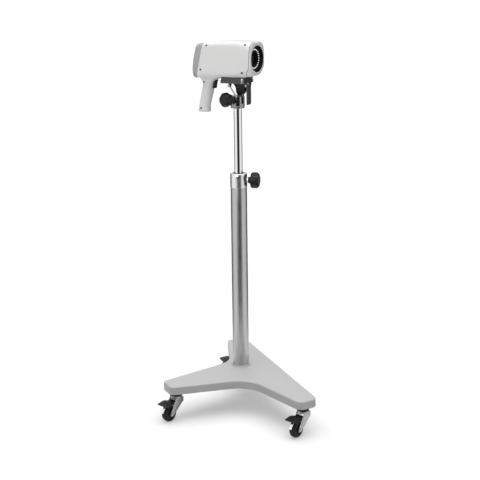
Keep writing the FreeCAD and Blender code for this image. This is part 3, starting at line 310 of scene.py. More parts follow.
class Paintshop:
    """Makes one material for each finish and hands it out by slot name."""

    COAT_ROUGHNESS = 0.12
    GLASS_IOR, PLASTIC_IOR = 1.52, 1.46

    def __init__(self) -> None:
        """Make the shared effects; the materials come when asked for."""
        self.groups = GroupLibrary()
        self.made: dict[str, bpy.types.Material] = {}

    def material(self, slot: str) -> bpy.types.Material:
        """The material of a slot, made when first asked for."""
        if slot not in self.made:
            self.made[slot] = self._make(slot, FINISHES[slot])
        return self.made[slot]

    def _make(self, slot: str, finish: Finish) -> bpy.types.Material:
        """Build a material from the shared effects.

        Args:
            slot: The material's name.
            finish: What it looks like.

        Returns:
            The new material.
        """
        material = bpy.data.materials.new(slot)
        graph = NodeGraph.empty(material)
        colour = (*finish.colour, 1.0)
        tone = graph.add("ShaderNodeGroup", {"Color": colour, "Amount": finish.drift},
                         node_tree=self.groups.tone)
        sheen = graph.add("ShaderNodeGroup", {
            "Roughness": finish.roughness, "Spread": finish.spread},
            node_tree=self.groups.sheen)
        relief = graph.add("ShaderNodeGroup", {
            "Scale": finish.texture.value, "Depth": finish.relief, "Edge": finish.edge},
            node_tree=self.groups.relief)
        glassy = finish.kind is Kind.GLASS
        shader = graph.add("ShaderNodeBsdfPrincipled", {
            "Base Color": tone.outputs["Color"], "Roughness": sheen.outputs["Roughness"],
            "Normal": relief.outputs["Normal"],
            "Metallic": 1.0 if finish.kind is Kind.METAL else 0.0,
            "Coat Weight": finish.coat, "Coat Roughness": self.COAT_ROUGHNESS,
            "IOR": self.GLASS_IOR if glassy else self.PLASTIC_IOR,
            "Specular IOR Level": finish.gloss, "Emission Strength": finish.glow,
            "Emission Color": colour})
        graph.add("ShaderNodeOutputMaterial", {"Surface": shader.outputs["BSDF"]})
        return material

    def paint(self, thing: bpy.types.Object, slot: str) -> None:
        """Give an object the material of a slot and nothing else."""
        thing.data.materials.clear()
        thing.data.materials.append(self.material(slot))


def place_at(x: float, y: float, z: float,
             turns: Sequence[tuple[str, float]] = ()) -> Matrix:
    """The matrix from a piece's own millimetres to the row frame.

    Args:
        x: Millimetres from the column's axis along +X.
        y: Millimetres from the column's axis along +Y.
        z: Millimetres above the floor.
        turns: Axis and degrees of each rotation, the first one made first.

    Returns:
        The matrix that sets the piece in place.
    """
    matrix = Matrix.Scale(MM, 4)
    for axis, degrees in turns:
        matrix = Matrix.Rotation(math.radians(degrees), 4, axis) @ matrix
    return Matrix.Translation(AXIS + Vector((x, y, z)) * MM) @ matrix


def rounded(corners: Corners, steps: int = 5, closed: bool = False) -> Line:
    """Turn the corners of a polyline into arcs.

    Args:
        corners: Points (u, v), or (u, v, radius) where the corner is an arc.
        steps: Segments in each arc.
        closed: Whether the last point joins the first.

    Returns:
        The points of the rounded line.
    """
    points: Line = []
    count = len(corners)
    for index, corner in enumerate(corners):
        here = Vector(corner[:2])
        inner = closed or 0 < index < count - 1
        if len(corner) < 3 or not inner:
            points.append(tuple(here))
            continue
        before = Vector(corners[index - 1][:2]) - here
        after = Vector(corners[(index + 1) % count][:2]) - here
        half = before.angle(after) / 2.0
        reach = min(corner[2] / math.tan(half), before.length * 0.499, after.length * 0.499)
        start, end = before.normalized() * reach, after.normalized() * reach
        centre = (start + end).normalized() * (reach / math.cos(half))
        arm, swing = start - centre, (start - centre).angle_signed(end - centre)
        for step in range(steps + 1):
            turned = Matrix.Rotation(-swing * step / steps, 2) @ arm
            points.append(tuple(here + centre + turned))
    return points


def polar(radius: float, degrees: float, x: float = 0.0, y: float = 0.0
          ) -> tuple[float, float]:
    """The point at a distance and a bearing from (x, y)."""
    angle = math.radians(degrees)
    return x + radius * math.cos(angle), y + radius * math.sin(angle)


def doubled(half: Corners, *tip: tuple[float, ...]) -> Corners:
    """A line from v < 0, an optional tip, and the line's mirror image in v = 0."""
    return [*half, *tip, *((u, -v, *ease) for u, v, *ease in reversed(half))]


def plaque(left: float, right: float, half: float, radius: float) -> Corners:
    """A rectangle that lies evenly about Y = 0, all corners rounded."""
    return doubled([(left, -half, radius), (right, -half, radius)])


def rod(radius: float, half: float, *ease: float) -> Corners:
    """The profile of a plain round rod of a half length, with eased ends if asked."""
    return doubled([(0, -half), (radius, -half, *ease)])


def smooth_step(low: float, high: float, value: float) -> float:
    """0 below low, 1 above high, and an eased rise in between."""
    share = min(max((value - low) / (high - low), 0.0), 1.0)
    return share * share * (3.0 - 2.0 * share)


def verts_of(raised: Sequence) -> list[bmesh.types.BMVert]:
    """The vertices among what an operator gives back."""
    return [item for item in raised if isinstance(item, bmesh.types.BMVert)]


class Shape:
    """A mesh under construction, in millimetres in its own frame."""

    LEVEL = 1e-6  # an edge that rises less than this is taken as level
    WELD = 0.0005  # points closer than this become one

    def __init__(self) -> None:
        """Start with an empty mesh."""
        self.mesh = bmesh.new()

    def turn(self, profile: Corners, steps: int = 64, move: Matrix = STILL,
             bend: Optional[Bend] = None, arc: int = 5) -> "Shape":
        """Spin a profile about Z.

        Args:
            profile: Corners (radius, height), with the radius of an arc where there is one;
                the same point first and last closes it.
            steps: Segments in the full turn.
            move: Where the turned form goes in the shape's frame.
            bend: Changes (radius, height) at an angle, for lobes and recesses.
            arc: Segments in each arc of the profile.

        Returns:
            The shape itself.
        """
        part = bmesh.new()
        points = [part.verts.new((radius, 0.0, height))
                  for radius, height in rounded(profile, arc)]
        edges = [part.edges.new(pair) for pair in zip(points, points[1:])]
        bmesh.ops.spin(part, geom=points + edges, cent=(0, 0, 0), axis=(0, 0, 1),
                       dvec=(0, 0, 0), angle=FULL_TURN, steps=steps, use_merge=True,
                       use_duplicate=False)
        if bend:
            for vert in part.verts:
                angle = math.atan2(vert.co.y, vert.co.x)
                radius, height = bend(vert.co.xy.length, vert.co.z, angle)
                vert.co = (radius * math.cos(angle), radius * math.sin(angle), height)
        part.transform(move)
        return self.take(part)

    def loft(self, rings: Sequence[Sequence[Vector]], caps: bool = False) -> "Shape":
        """Bridge closed rings of equal length.

        Args:
            rings: The rings, in order.
            caps: Whether the first and last ring are closed with a face.

        Returns:
            The shape itself.
        """
        part = bmesh.new()
        loops = []
        for ring in rings:
            verts = [part.verts.new(point) for point in ring]
            loops.append([part.edges.new((verts[k - 1], verts[k])) for k in range(len(verts))])
        for lower, upper in zip(loops, loops[1:]):
            bmesh.ops.bridge_loops(part, edges=lower + upper)
        if caps:
            for loop in (loops[0], loops[-1]):
                bmesh.ops.contextual_create(part, geom=loop)
        return self.take(part)

    def prism(self, outline: Corners, low: float, high: float, bevel: float,
              move: Matrix = STILL, arc: int = 5, segments: int = 3,
              keep: Optional[Callable[[Vector], bool]] = None) -> "Shape":
        """Raise an outline along Z and round its rims.

        Args:
            outline: Corners (x, y), with the radius of an arc where there is one.
            low: Where the prism starts.
            high: Where it ends.
            bevel: Radius round both rims.
            move: Where the prism goes in the shape's frame.
            arc: Segments in each arc of the outline.
            segments: Segments across the rounding of the rims.
            keep: Tells by an edge's middle whether it stays sharp.

        Returns:
            The shape itself.
        """
        part = bmesh.new()
        base = part.faces.new([part.verts.new((x, y, low))
                               for x, y in rounded(outline, arc, True)])
        raised = bmesh.ops.extrude_face_region(part, geom=[base])["geom"]
        bmesh.ops.translate(part, verts=verts_of(raised), vec=(0.0, 0.0, high - low))
        rims = [edge for edge in part.edges
                if abs(edge.verts[0].co.z - edge.verts[1].co.z) < self.LEVEL
                and not (keep and keep((edge.verts[0].co + edge.verts[1].co) / 2))]
        bmesh.ops.bevel(part, geom=rims, offset=bevel, affect="EDGES", segments=segments,
                        profile=0.5, material=-1)
        part.transform(move)
        return self.take(part)

    def take(self, part: bmesh.types.BMesh) -> "Shape":
        """Add another mesh's geometry and free it.

        Args:
            part: The other mesh.

        Returns:
            The shape itself.
        """
        spare = bpy.data.meshes.new("spare")
        part.to_mesh(spare)
        part.free()
        self.mesh.from_mesh(spare)
        bpy.data.meshes.remove(spare)
        return self

    def finish(self, name: str, place: Matrix, sharp: float) -> bpy.types.Object:
        """Merge, orient and place the mesh, and make the object.

        Args:
            name: The object's name.
            place: The matrix from the shape's millimetres to the row frame.
            sharp: Degrees above which an edge stays hard.

        Returns:
            The object, at the origin, with its place in the mesh.
        """
        bmesh.ops.remove_doubles(self.mesh, verts=self.mesh.verts, dist=self.WELD)
        bmesh.ops.recalc_face_normals(self.mesh, faces=self.mesh.faces)
        self.mesh.transform(place)
        mesh = bpy.data.meshes.new(name)
        self.mesh.to_mesh(mesh)
        self.mesh.free()
        mesh.polygons.foreach_set("use_smooth", [True] * len(mesh.polygons))
        mesh.set_sharp_from_angle(angle=math.radians(sharp))
        thing = bpy.data.objects.new(name, mesh)
        bpy.context.scene.collection.objects.link(thing)
        return thing


class Workshop:
    """Sets finished shapes in the frame, each on its body, in place of its CAD nodes."""

    def __init__(self, shop: Paintshop) -> None:
        """Keep the paintshop at hand."""
        self.shop = shop

    def mount(self, shape: Shape, name: str, body: str, slot: str,
              replaces: Sequence[str] = (), place: Optional[Matrix] = None,
              sharp: float = 38.0, finish: Optional[str] = None) -> None:
        """Finish a shape and hang it on a CAD body.

        Args:
            shape: The mesh under construction.
            name: The piece's name.
            body: The CAD body it moves with.
            slot: The record's material slot.
            replaces: The CAD nodes that it stands for.
            place: Where it goes; the column's axis on the floor if left out.
            sharp: Degrees above which an edge stays hard.
            finish: The finish, where it isn't the slot's own.
        """
        thing = shape.finish(name, place or place_at(0, 0, 0), sharp)
        self.shop.paint(thing, finish or slot)
        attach(thing, body)
        if replaces:
            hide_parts(*replaces)


@dataclass
class BaseCover:
    """Moulded cover of the three legs, with a skirt and a slightly raised top.

    Each leg is its reach from the hub, its bearing and the rounding of its end; each valley
    between two legs is its distance from the hub and its bearing.
    """

    work: Workshop
    legs: tuple[tuple[float, float, float], ...] = (
        (300.0, 236.0, 15.0), (315.0, 328.0, 21.0), (269.0, 131.0, 15.0))
    front_valley: tuple[float, float] = (105.0, 289.0)
    rear_valley: tuple[float, float] = (94.0, 172.6)
    hub: float = 48.0
    half_width: float = 31.0
    valley_round: float = 90.0
    underside: float = 88.0
    top: float = 115.0
    rim_round: float = 4.5
    wall: float = 3.0
    fall: float = 1.6
    arc: int = 14

    def _outline(self) -> Line:
        """Draw the cover from leg to leg, with a valley after two of the three.

        Returns:
            The points of its outline.
        """
        valleys = (self.front_valley, None, self.rear_valley)
        corners = []
        for (reach, angle, end_round), valley in zip(self.legs, valleys):
            for aside in (-self.half_width, self.half_width):
                end = polar(reach, angle, self.hub)
                corners.append((*polar(aside, angle + 90.0, *end), end_round))
            if valley:
                corners.append((*polar(*valley, self.hub), self.valley_round))
        return rounded(corners, self.arc, True)

    def build(self) -> None:
        """Make the cover: a shell that is open below, with an eased plateau on top."""
        part = bmesh.new()
        face = part.faces.new([part.verts.new((x, y, self.underside))
                               for x, y in self._outline()])
        raised = bmesh.ops.extrude_face_region(part, geom=[face])["geom"]
        lift = self.top - self.fall - self.underside
        bmesh.ops.translate(part, verts=verts_of(raised), vec=(0.0, 0.0, lift))
        rims = [edge for edge in part.edges
                if min(vert.co.z for vert in edge.verts) > self.underside + 1.0]
        bmesh.ops.bevel(part, geom=rims, offset=self.rim_round, affect="EDGES", segments=6,
                        profile=0.5, material=-1)
        broad = [item for item in part.faces if len(item.verts) > 4]
        lid = max(broad, key=lambda item: item.calc_center_median().z)
        floor = min(broad, key=lambda item: item.calc_center_median().z)
        for thickness, share in ((1.5, 0.0), (3.0, 0.5), (3.0, 0.5)):
            bmesh.ops.inset_region(part, faces=[lid], thickness=thickness,
                                   depth=self.fall * share)
        bmesh.ops.inset_region(part, faces=[floor], thickness=self.wall, depth=0.0)
        hollow = bmesh.ops.extrude_face_region(part, geom=[floor])["geom"]
        bmesh.ops.translate(part, verts=verts_of(hollow),
                            vec=(0.0, 0.0, lift - self.wall - 1.0))
        wide = [item for item in part.faces if len(item.verts) > 4]
        bmesh.ops.triangulate(part, faces=wide, quad_method="BEAUTY", ngon_method="EAR_CLIP")
        self.work.mount(Shape().take(part), "base_cover", "base", "base_grey", ["base_shell"],
                        sharp=50.0)


@dataclass
class Column:
    """Column tube, collar, bush and telescopic pole: long turned pieces with fine seams."""

    work: Workshop
    foot: float = 96.0
    ring_foot: float = 115.0
    tube: float = 25.0
    tube_wall: float = 2.5
    tube_end: float = 686.0
    collar_end: float = 729.0
    pole: float = 12.5
    pole_wall: float = 2.0
    pole_foot: float = 440.0
    pole_end: float = 957.5

    def build(self) -> None:
        """Make the turned pieces that show."""
        for name, body, slot, node, steps, profile in (
                ("column_skin", "base", "column_steel", "column_tube", 128, self._tube()),
                ("foot_ring_skin", "base", "base_grey", "foot_ring", 128, self._ring()),
                ("collar_skin", "base", "polished_alu", "column_collar", 128,
                 self._collar()),
                ("bush_skin", "base", "knob_black", "column_bush", 96, self._bush()),
                ("pole_skin", "pole", "chrome", "pole_tube", 96, self._pole())):
            self.work.mount(Shape().turn(profile, steps), name, body, slot, [node])

    def _tube(self) -> Corners:
        """Profile of the column's tube."""
        inner, outer, end = self.tube - self.tube_wall, self.tube, self.tube_end
        return [(inner, self.foot), (outer, self.foot), (outer, end, 0.6), (inner, end),
                (inner, self.foot)]

    def _ring(self) -> Corners:
        """Profile of the ring round the tube's foot, on the base cover."""
        inner, low = self.tube + 0.05, self.ring_foot
        outer = self.tube + 4.5
        return [(inner, low), (outer, low), (outer, low + 1.6, 0.8),
                (outer - 0.9, low + 2.8, 0.8), (inner, low + 3.0), (inner, low)]

    def _collar(self) -> Corners:
        """Profile of the polished collar, with its sleeve inside the tube."""
        low, high, bore = self.tube_end, self.collar_end, 16.1
        return [(bore, low - 26), (22.4, low - 26), (22.4, low - 0.1), (25.9, low + 0.1, 0.4),
                (26.0, low + 2, 0.5), (26.0, high - 7, 1.0), (25.6, high - 5, 0.6),
                (25.9, high - 3.8, 0.5), (25.4, high - 0.4, 2.0), (bore, high, 0.6),
                (bore, low - 26)]

    def _bush(self) -> Corners:
        """Profile of the guide bush between collar and pole."""
        low, high, bore = self.tube_end - 28, self.collar_end, 12.6
        return [(bore, low), (16.0, low), (16.0, high + 0.2), (15.4, high + 1.2, 0.8),
                (13.2, high + 1.2, 0.8), (bore, high), (bore, low)]

    def _pole(self) -> Corners:
        """Profile of the pole, eased at its top."""
        inner, outer, end = self.pole - self.pole_wall, self.pole, self.pole_end
        return [(inner, self.pole_foot), (outer, self.pole_foot), (outer, end - 1, 1.0),
                (outer - 1, end, 0.6), (inner, end), (inner, self.pole_foot)]


@dataclass
class StarKnob:
    """Five-lobed hand knob with a dished face."""

    work: Workshop
    stem: str
    body: str
    bearing: float
    reach: float
    high: float
    phase: float
    rim: float = 24.5
    cut: float = 12.5
    cut_reach: float = 31.0
    ease: float = 0.5
    lobes: int = 5

    def _scallop(self, radius: float, height: float, angle: float) -> tuple[float, float]:
        """Pull the rim in between the lobes, with an eased edge.

        Args:
            radius: A point's distance from the axis.
            height: Its place along the axis.
            angle: Its angle round the axis.

        Returns:
            The point's new radius and height.
        """
        lobe = FULL_TURN / self.lobes
        off = (angle + lobe / 2) % lobe - lobe / 2
        across = self.cut_reach * math.sin(off)
        if abs(across) >= self.cut:
            return radius, height
        wall = self.cut_reach * math.cos(off) - math.sqrt(self.cut ** 2 - across ** 2)
        ease = self.ease
        pulled = -ease * math.log(math.exp(-radius / ease) + math.exp(-wall / ease))
        return min(radius, pulled), height

    def build(self) -> None:
        """Make the knob and its stud."""
        aim = [("Z", self.phase), ("Y", 90), ("Z", self.bearing)]
        place = place_at(0, 0, self.high, aim)
        rim, reach = self.rim, self.reach
        head = [(4.0, reach - 8), (9.6, reach - 8, 1.0), (10.8, reach - 1.5, 2.0),
                (13.0, reach + 0.2, 2.0), (rim - 3.5, reach + 1.0, 3.0), (rim, reach + 5, 3.5),
                (rim, reach + 20, 3.5), (rim - 4, reach + 24.6, 3.0),
                (rim - 9, reach + 26, 2.0), (10.5, reach + 26, 0.8), (10.0, reach + 25.2, 0.6),
                (7.0, reach + 25.0, 1.0), (0.0, reach + 25.3)]
        self.work.mount(Shape().turn(head, 160, bend=self._scallop, arc=6),
                        f"{self.stem}_skin", self.body, "knob_black", [self.stem], place, 42.0)
        stud = [(0.0, 12.8), (3.2, 12.8), (4.0, 13.6, 0.5), (4.0, reach - 11),
                (7.2, reach - 11, 0.4), (7.5, reach - 10, 0.5), (7.5, reach - 8),
                (4.0, reach - 8), (0.0, reach - 8)]
        self.work.mount(Shape().turn(stud, 48), f"{self.stem}_stud_skin", self.body, "chrome",
                        [f"{self.stem}_stud"], place)


@dataclass
class PoleHead:
    """Socket with its tongue, and the two plates under the camera."""

    work: Workshop
    bore: float = 12.55
    radius: float = 21.0
    low: float = 925.5
    high: float = 963.0
    axis_x: float = 12.0
    axis_high: float = 977.0
    tongue: float = 8.0
    ear: float = 11.5
    deck: float = 1018.0
    plate_low: float = 1008.5
    plate_rear: float = -39.0
    plate_front: float = 35.0
    half_plate: float = 33.0
    lever_foot: tuple[float, float, float] = (-14.0, -24.5, 993.5)
    lever_run: tuple[float, float] = (25.0, 34.0)

    def build(self) -> None:
        """Make the socket, the axle, the plate and the release rod."""
        self._socket()
        self._axle()
        self._plate()
        self._release()

    def _release(self) -> None:
        """Make the slim release rod that leans beside the block."""
        lean = math.degrees(math.atan2(*self.lever_run))
        shape = Shape().turn([(0, 2.0), (2.3, 2.0, 0.4), (2.3, 38.0), (3.1, 39.0, 0.6),
                              (3.1, 41.6, 0.8), (2.0, 42.4, 0.4), (0, 42.4)], 40)
        shape.turn(rod(4.0, 4.4, 0.6), 40, UPRIGHT)
        self.work.mount(shape, "release_skin", "release_lever_swing", "chrome",
                        ["release_lever"], place_at(*self.lever_foot, [("Y", 180.0 - lean)]),
                        finish="zinc")

    def _axle(self) -> None:
        """Make the tilt axle, with a domed head at each end."""
        half = self.tongue / 2 + 6.3
        end = [(0, -half - 2.5), (4.5, -half - 2.5, 1.5), (6.5, -half - 1.0, 0.8),
               (6.5, -half, 0.2), (4.0, -half)]
        self.work.mount(Shape().turn(doubled(end), 48), "tilt_axle_skin", "camera_head",
                        "chrome", ["tilt_axle"],
                        place_at(self.axis_x, 0.0, self.axis_high, [("X", 90)]),
                        finish="gloss_black")

    def _socket(self) -> None:
        """Make the socket on the pole and the tongue that carries the tilt axle."""
        wall, low, high, end = self.radius, self.low, self.high, self.high - 5.2
        shape = Shape().turn([
            (self.bore, low), (wall - 1, low, 0.8), (wall, low + 1, 0.6),
            (wall, low + 5.4, 0.3), (wall - 0.5, low + 6, 0.3), (wall - 0.5, low + 7, 0.3),
            (wall, low + 7.6, 0.3), (wall, high - 2, 1.5), (wall - 2, high, 1.0), (0, high),
            (0, end), (self.bore, end), (self.bore, low)], 96)
        rear, front, crest = self.axis_x - self.ear, self.axis_x + self.ear, self.ear - 0.2
        tongue = [(rear, high - 2), (wall - 2, high - 2), (front, self.axis_high, 4.0),
                  (front, self.axis_high + self.ear, crest),
                  (rear, self.axis_high + self.ear, crest)]
        shape.prism(tongue, -self.tongue / 2, self.tongue / 2, 0.6, UPRIGHT, 8)
        self.work.mount(shape, "socket_skin", "pan_head", "gloss_black", ["pole_socket"],
                        finish="black_chrome")

    def _plate(self) -> None:
        """Make the quick-release plate with its pad, and metal strips at its corners that paint
        a highlight line down each corner.
        """
        rear, front, half, deck = self.plate_rear, self.plate_front, self.half_plate, self.deck
        shape = Shape().prism(plaque(rear, front, half, 3.5), self.plate_low, deck - 1.2,
                              0.9, arc=8)
        shape.prism(plaque(rear + 4, front - 4, half - 4, 2.0), deck - 1.4, deck, 0.3)
        self.work.mount(shape, "plate_skin", "camera_head", "dark_plate",
                        ["quick_release_plate"])
        # Painted highlight: bright zinc strips set at the plate's corners, where the dark plate
        # itself shows only a corner highlight.
        highlight_strips = Shape()
        bar = [(0, 1001.2), (4.3, 1001.2, 0.4), (4.3, 1016.6, 0.4), (0, 1016.6)]
        for side in (-1, 1):
            highlight_strips.turn(bar, 40, Matrix.Translation((32.1, side * 30.1, 0.0)), arc=3)
        self.work.mount(highlight_strips, "plate_corner_highlights", "camera_head", "dark_plate", finish="zinc")


@dataclass
class Head:
    """The fine pieces of the camera head: shell, bezel, cap, lens, lamps, grip and screws.

    The shell runs from the slanted seam at the rear cap (seam_foot to seam_top) to the
    bezel's seam, which stands upright at the lens and sweeps back under it. The crown is
    its peak's place along X and rise over the deck, the arches its flatness behind and
    before that peak, the keel the two places along X where the underside bends. A screw
    is its place along X, how far up or down from the deck, how far out and its lean.
    """

    work: Workshop
    deck: float = 1018.0
    front: float = 60.0
    lens_high: float = 1072.0
    half_width: float = 44.0
    face: float = 38.6
    face_out: float = 8.0
    seam_foot: tuple[float, float] = (-117.5, 1013.5)
    seam_top: tuple[float, float] = (-93.0, 1117.5)
    seam_low: float = 3.2
    seam_high: float = 102.5
    seam_out: float = 4.6
    seam_sweep: float = 15.0
    seam_round: float = 25.0
    edge_round: float = 15.0
    crown: tuple[float, float] = (15.0, 105.5)
    arches: tuple[float, float] = (1950.0, 812.0)
    keel: tuple[float, float] = (-40.0, 36.0)
    recess: float = 3.0
    lamp_count: int = 24
    lamp_ring: float = 27.2
    housing_screws: tuple[tuple[float, ...], ...] = (
        (-79.5, 92.0, 42.6, 24.0), (48.0, 96.5, 39.4, 38.0), (-100.7, 21.0, 44.0, 0.0),
        (39.0, 16.0, 44.0, 0.0))
    grip_screws: tuple[tuple[float, ...], ...] = ((-104.0, 18.0, 17.9), (-117.5, 97.0, 16.6))
    grip: tuple[tuple[float, ...], ...] = (
        # height, rear, front, half width, squareness
        (909.0, -129.5, -98.0, 14.0, 3.0), (910.2, -131.0, -96.4, 15.6, 3.0),
        (913.5, -131.6, -95.6, 16.4, 3.0), (918.0, -131.2, -96.2, 16.2, 2.8),
        (926.0, -130.0, -96.4, 15.8, 2.6), (940.0, -127.0, -93.0, 16.0, 2.5),
        (956.0, -123.0, -88.2, 16.4, 2.5), (972.0, -118.6, -84.0, 16.8, 2.5),
        (984.0, -115.6, -81.6, 17.0, 2.6), (994.0, -114.0, -80.0, 17.4, 2.8),
        (1001.0, -114.6, -77.0, 18.6, 3.2), (1006.0, -116.4, -71.0, 21.0, 3.6),
        (1010.0, -119.0, -62.0, 25.0, 4.0), (1014.0, -121.0, -50.0, 30.0, 4.4),
        (1019.0, -121.0, -42.0, 33.0, 5.0))

    def __post_init__(self) -> None:
        """Find the lens's place and the heights of the bezel's seam."""
        self.lens_place = place_at(self.front - self.recess, 0.0, self.lens_high, [("Y", 90)])
        self.low, self.high = self.deck + self.seam_low, self.deck + self.seam_high

    def build(self) -> None:
        """Make all pieces of the head that are finer than the frame's."""
        self._shell()
        self._bezel()
        self._seam()
        self._cap()
        self._lens()
        self._lamps()
        self._grip()
        self._screws()

    def _mount(self, shape: Shape, name: str, slot: str, replaces: Sequence[str] = (),
               place: Optional[Matrix] = None, sharp: float = 38.0,
               finish: Optional[str] = None) -> None:
        """Hang a piece on the camera head; the arguments are Workshop.mount's."""
        self.work.mount(shape, name, "camera_head", slot, replaces, place, sharp, finish)

    @staticmethod
    def _frame(half: float, low: float, high: float, radius: float,
               x: Callable[[float], float]) -> list[Vector]:
        """An upright rounded rectangle.

        Args:
            half: Half its width.
            low: Height of its lower side.
            high: Height of its upper side.
            radius: Radius of its corners.
            x: Gives the place along X at a height.

        Returns:
            The points of the ring.
        """
        flat = rounded([(-half, low, radius), (half, low, radius), (half, high, radius),
                        (-half, high, radius)], 14, True)
        return [Vector((x(z), y, z)) for y, z in flat]

    def _sweep(self, z: float) -> float:
        """Where the bezel's rear edge runs: it sweeps back under the housing."""
        return (self.front + self.seam_out
                - self.seam_sweep * (1.0 - smooth_step(1023.0, 1056.0, z)))

    def _between(self, share: float) -> Callable[[float], float]:
        """Places along X at a share of the way from the seam to the bezel's face."""
        return lambda z: self._sweep(z) + share * (self.front + self.face_out - self._sweep(z))

    def _crown(self, x: float) -> float:
        """Height of the arched top at a place along X."""
        peak, rise = self.crown
        off = x - peak
        return self.deck + rise - off * off / self.arches[off > 0]

    def _keel(self, x: float) -> float:
        """Height of the underside, which is level between its two bends.

        Args:
            x: The place along X.

        Returns:
            The height there.
        """
        rear, front = self.keel
        (foot_x, foot_z), toe = self.seam_foot, self.front + self.seam_out - self.seam_sweep
        if x < rear:
            return self.deck - (self.deck - foot_z) * (rear - x) / (rear - foot_x)
        return self.deck + self.seam_low * max(0.0, x - front) / (toe - front)

    def _station(self, share: float, inset: float = 0.0) -> list[Vector]:
        """One ring of the shell.

        Args:
            share: Its share of the way from the cap's seam to the bezel's.
            inset: How far it is drawn in, for the ends.

        Returns:
            The points of the ring.
        """
        (foot_x, foot_z), (top_x, top_z) = self.seam_foot, self.seam_top

        def place(z: float) -> float:
            """The ring's place along X at a height."""
            rear = foot_x + (z - foot_z) / (top_z - foot_z) * (top_x - foot_x)
            return rear + share * (self._sweep(z) - 0.5 - rear)

        toe = self.front + self.seam_out
        low = self._keel(foot_x + share * (toe - self.seam_sweep - foot_x))
        high = self._crown(top_x + share * (toe - top_x))
        swell = (self.seam_round - self.edge_round) * smooth_step(0.72, 1.0, share)
        return self._frame(self.half_width - inset, low + inset, high - inset,
                           self.edge_round + swell - inset, place)

    def _shell(self) -> None:
        """Make the two housing halves between the cap's seam and the bezel's."""
        count, lip = 28, 2.5
        rings = [self._station(0.0, lip)]
        rings += [self._station(number / count) for number in range(count + 1)]
        rings += [self._station(1.0, lip)]
        for name, side in (("left", 1.0), ("right", -1.0)):
            half = Shape().loft(rings)
            bmesh.ops.bisect_plane(
                half.mesh, geom=[*half.mesh.verts, *half.mesh.edges, *half.mesh.faces],
                plane_co=(0, 0, 0), plane_no=(0, side, 0), clear_inner=True)
            self._mount(half, f"housing_{name}_skin", "white_housing", [f"housing_{name}"],
                        sharp=50.0)

    def _bezel(self) -> None:
        """Make the bezel: square at its seam, round at the lens face."""
        half, low, high = self.half_width, self.low, self.high
        lens, reach, edge = self.lens_high, self.face, self.seam_round
        rings = [self._frame(*ring) for ring in (
            (half - 1.4, low + 1.4, high - 1.4, edge - 1.0, self._sweep),
            (half + 0.3, low - 0.3, high + 0.3, edge, self._sweep),
            (half + 0.4, low - 0.3, high + 0.4, edge + 1.0, self._between(0.16)),
            (half, low + 0.6, high, edge + 4.0, self._between(0.42)),
            (half - 1.2, lens - 48.2, lens + 48.0, edge + 7.0, self._between(0.7)),
            (half - 3.0, lens - 46.0, lens + 45.8, 36.0, self._between(0.93)))]
        for wide, radius, out in ((1.2, 1.1, 8.0), (0.4, 0.3, 7.7), (0.0, -0.1, 7.0),
                                  (0.0, -0.1, -8.0)):
            rings.append(self._frame(reach + wide, lens - reach - wide, lens + reach + wide,
                                     reach + radius, lambda z, out=out: self.front + out))
        self._mount(Shape().loft(rings), "bezel_skin", "white_housing", ["front_bezel"],
                    sharp=50.0)

    def _seam(self) -> None:
        """Make the dark gasket line behind the bezel."""
        rings = [self._frame(self.half_width + lift, self.low - lift, self.high + lift,
                             self.seam_round + lift,
                             lambda z, back=back: self._sweep(z) - back)
                 for lift, back in ((-1.0, 1.5), (0.3, 1.5), (0.3, 0.0), (-1.0, 0.0))]
        self._mount(Shape().loft(rings), "bezel_gasket", "mid_grey", finish="gloss_black")

    def _cap(self) -> None:
        """Make the rear cap and its gasket, both sharp where they meet the shell."""
        foot, top = Vector(self.seam_foot), Vector(self.seam_top)
        outline = [self.seam_foot, (-129.5, 1015.5, 12.0), (-133.5, 1038.0, 60.0),
                   (-129.0, 1071.0, 60.0), (-118.0, 1113.0, 17.0), self.seam_top]
        along = (top - foot).normalized()

        def on_seam(middle: Vector) -> bool:
            """Whether an edge lies in the slanted seam."""
            off = Vector((middle.x, middle.y)) - foot
            return abs(off.x * along.y - off.y * along.x) < 0.2

        reach = self.half_width - 0.3
        shape = Shape().prism(outline, -reach, reach, 11.5, UPRIGHT, 8, 8, on_seam)
        self._mount(shape, "cap_skin", "pale_grey", ["rear_cap"], sharp=50.0)
        line = [(foot.x + 0.1, foot.y), (foot.x + 1.0, foot.y), (top.x + 1.0, top.y),
                (top.x + 0.1, top.y)]
        reach = self.half_width + 0.1
        gasket = Shape().prism(line, -reach, reach, 14.0, UPRIGHT, segments=8,
                               keep=lambda middle: 1013.6 < middle.y < 1117.4)
        self._mount(gasket, "cap_gasket", "mid_grey")

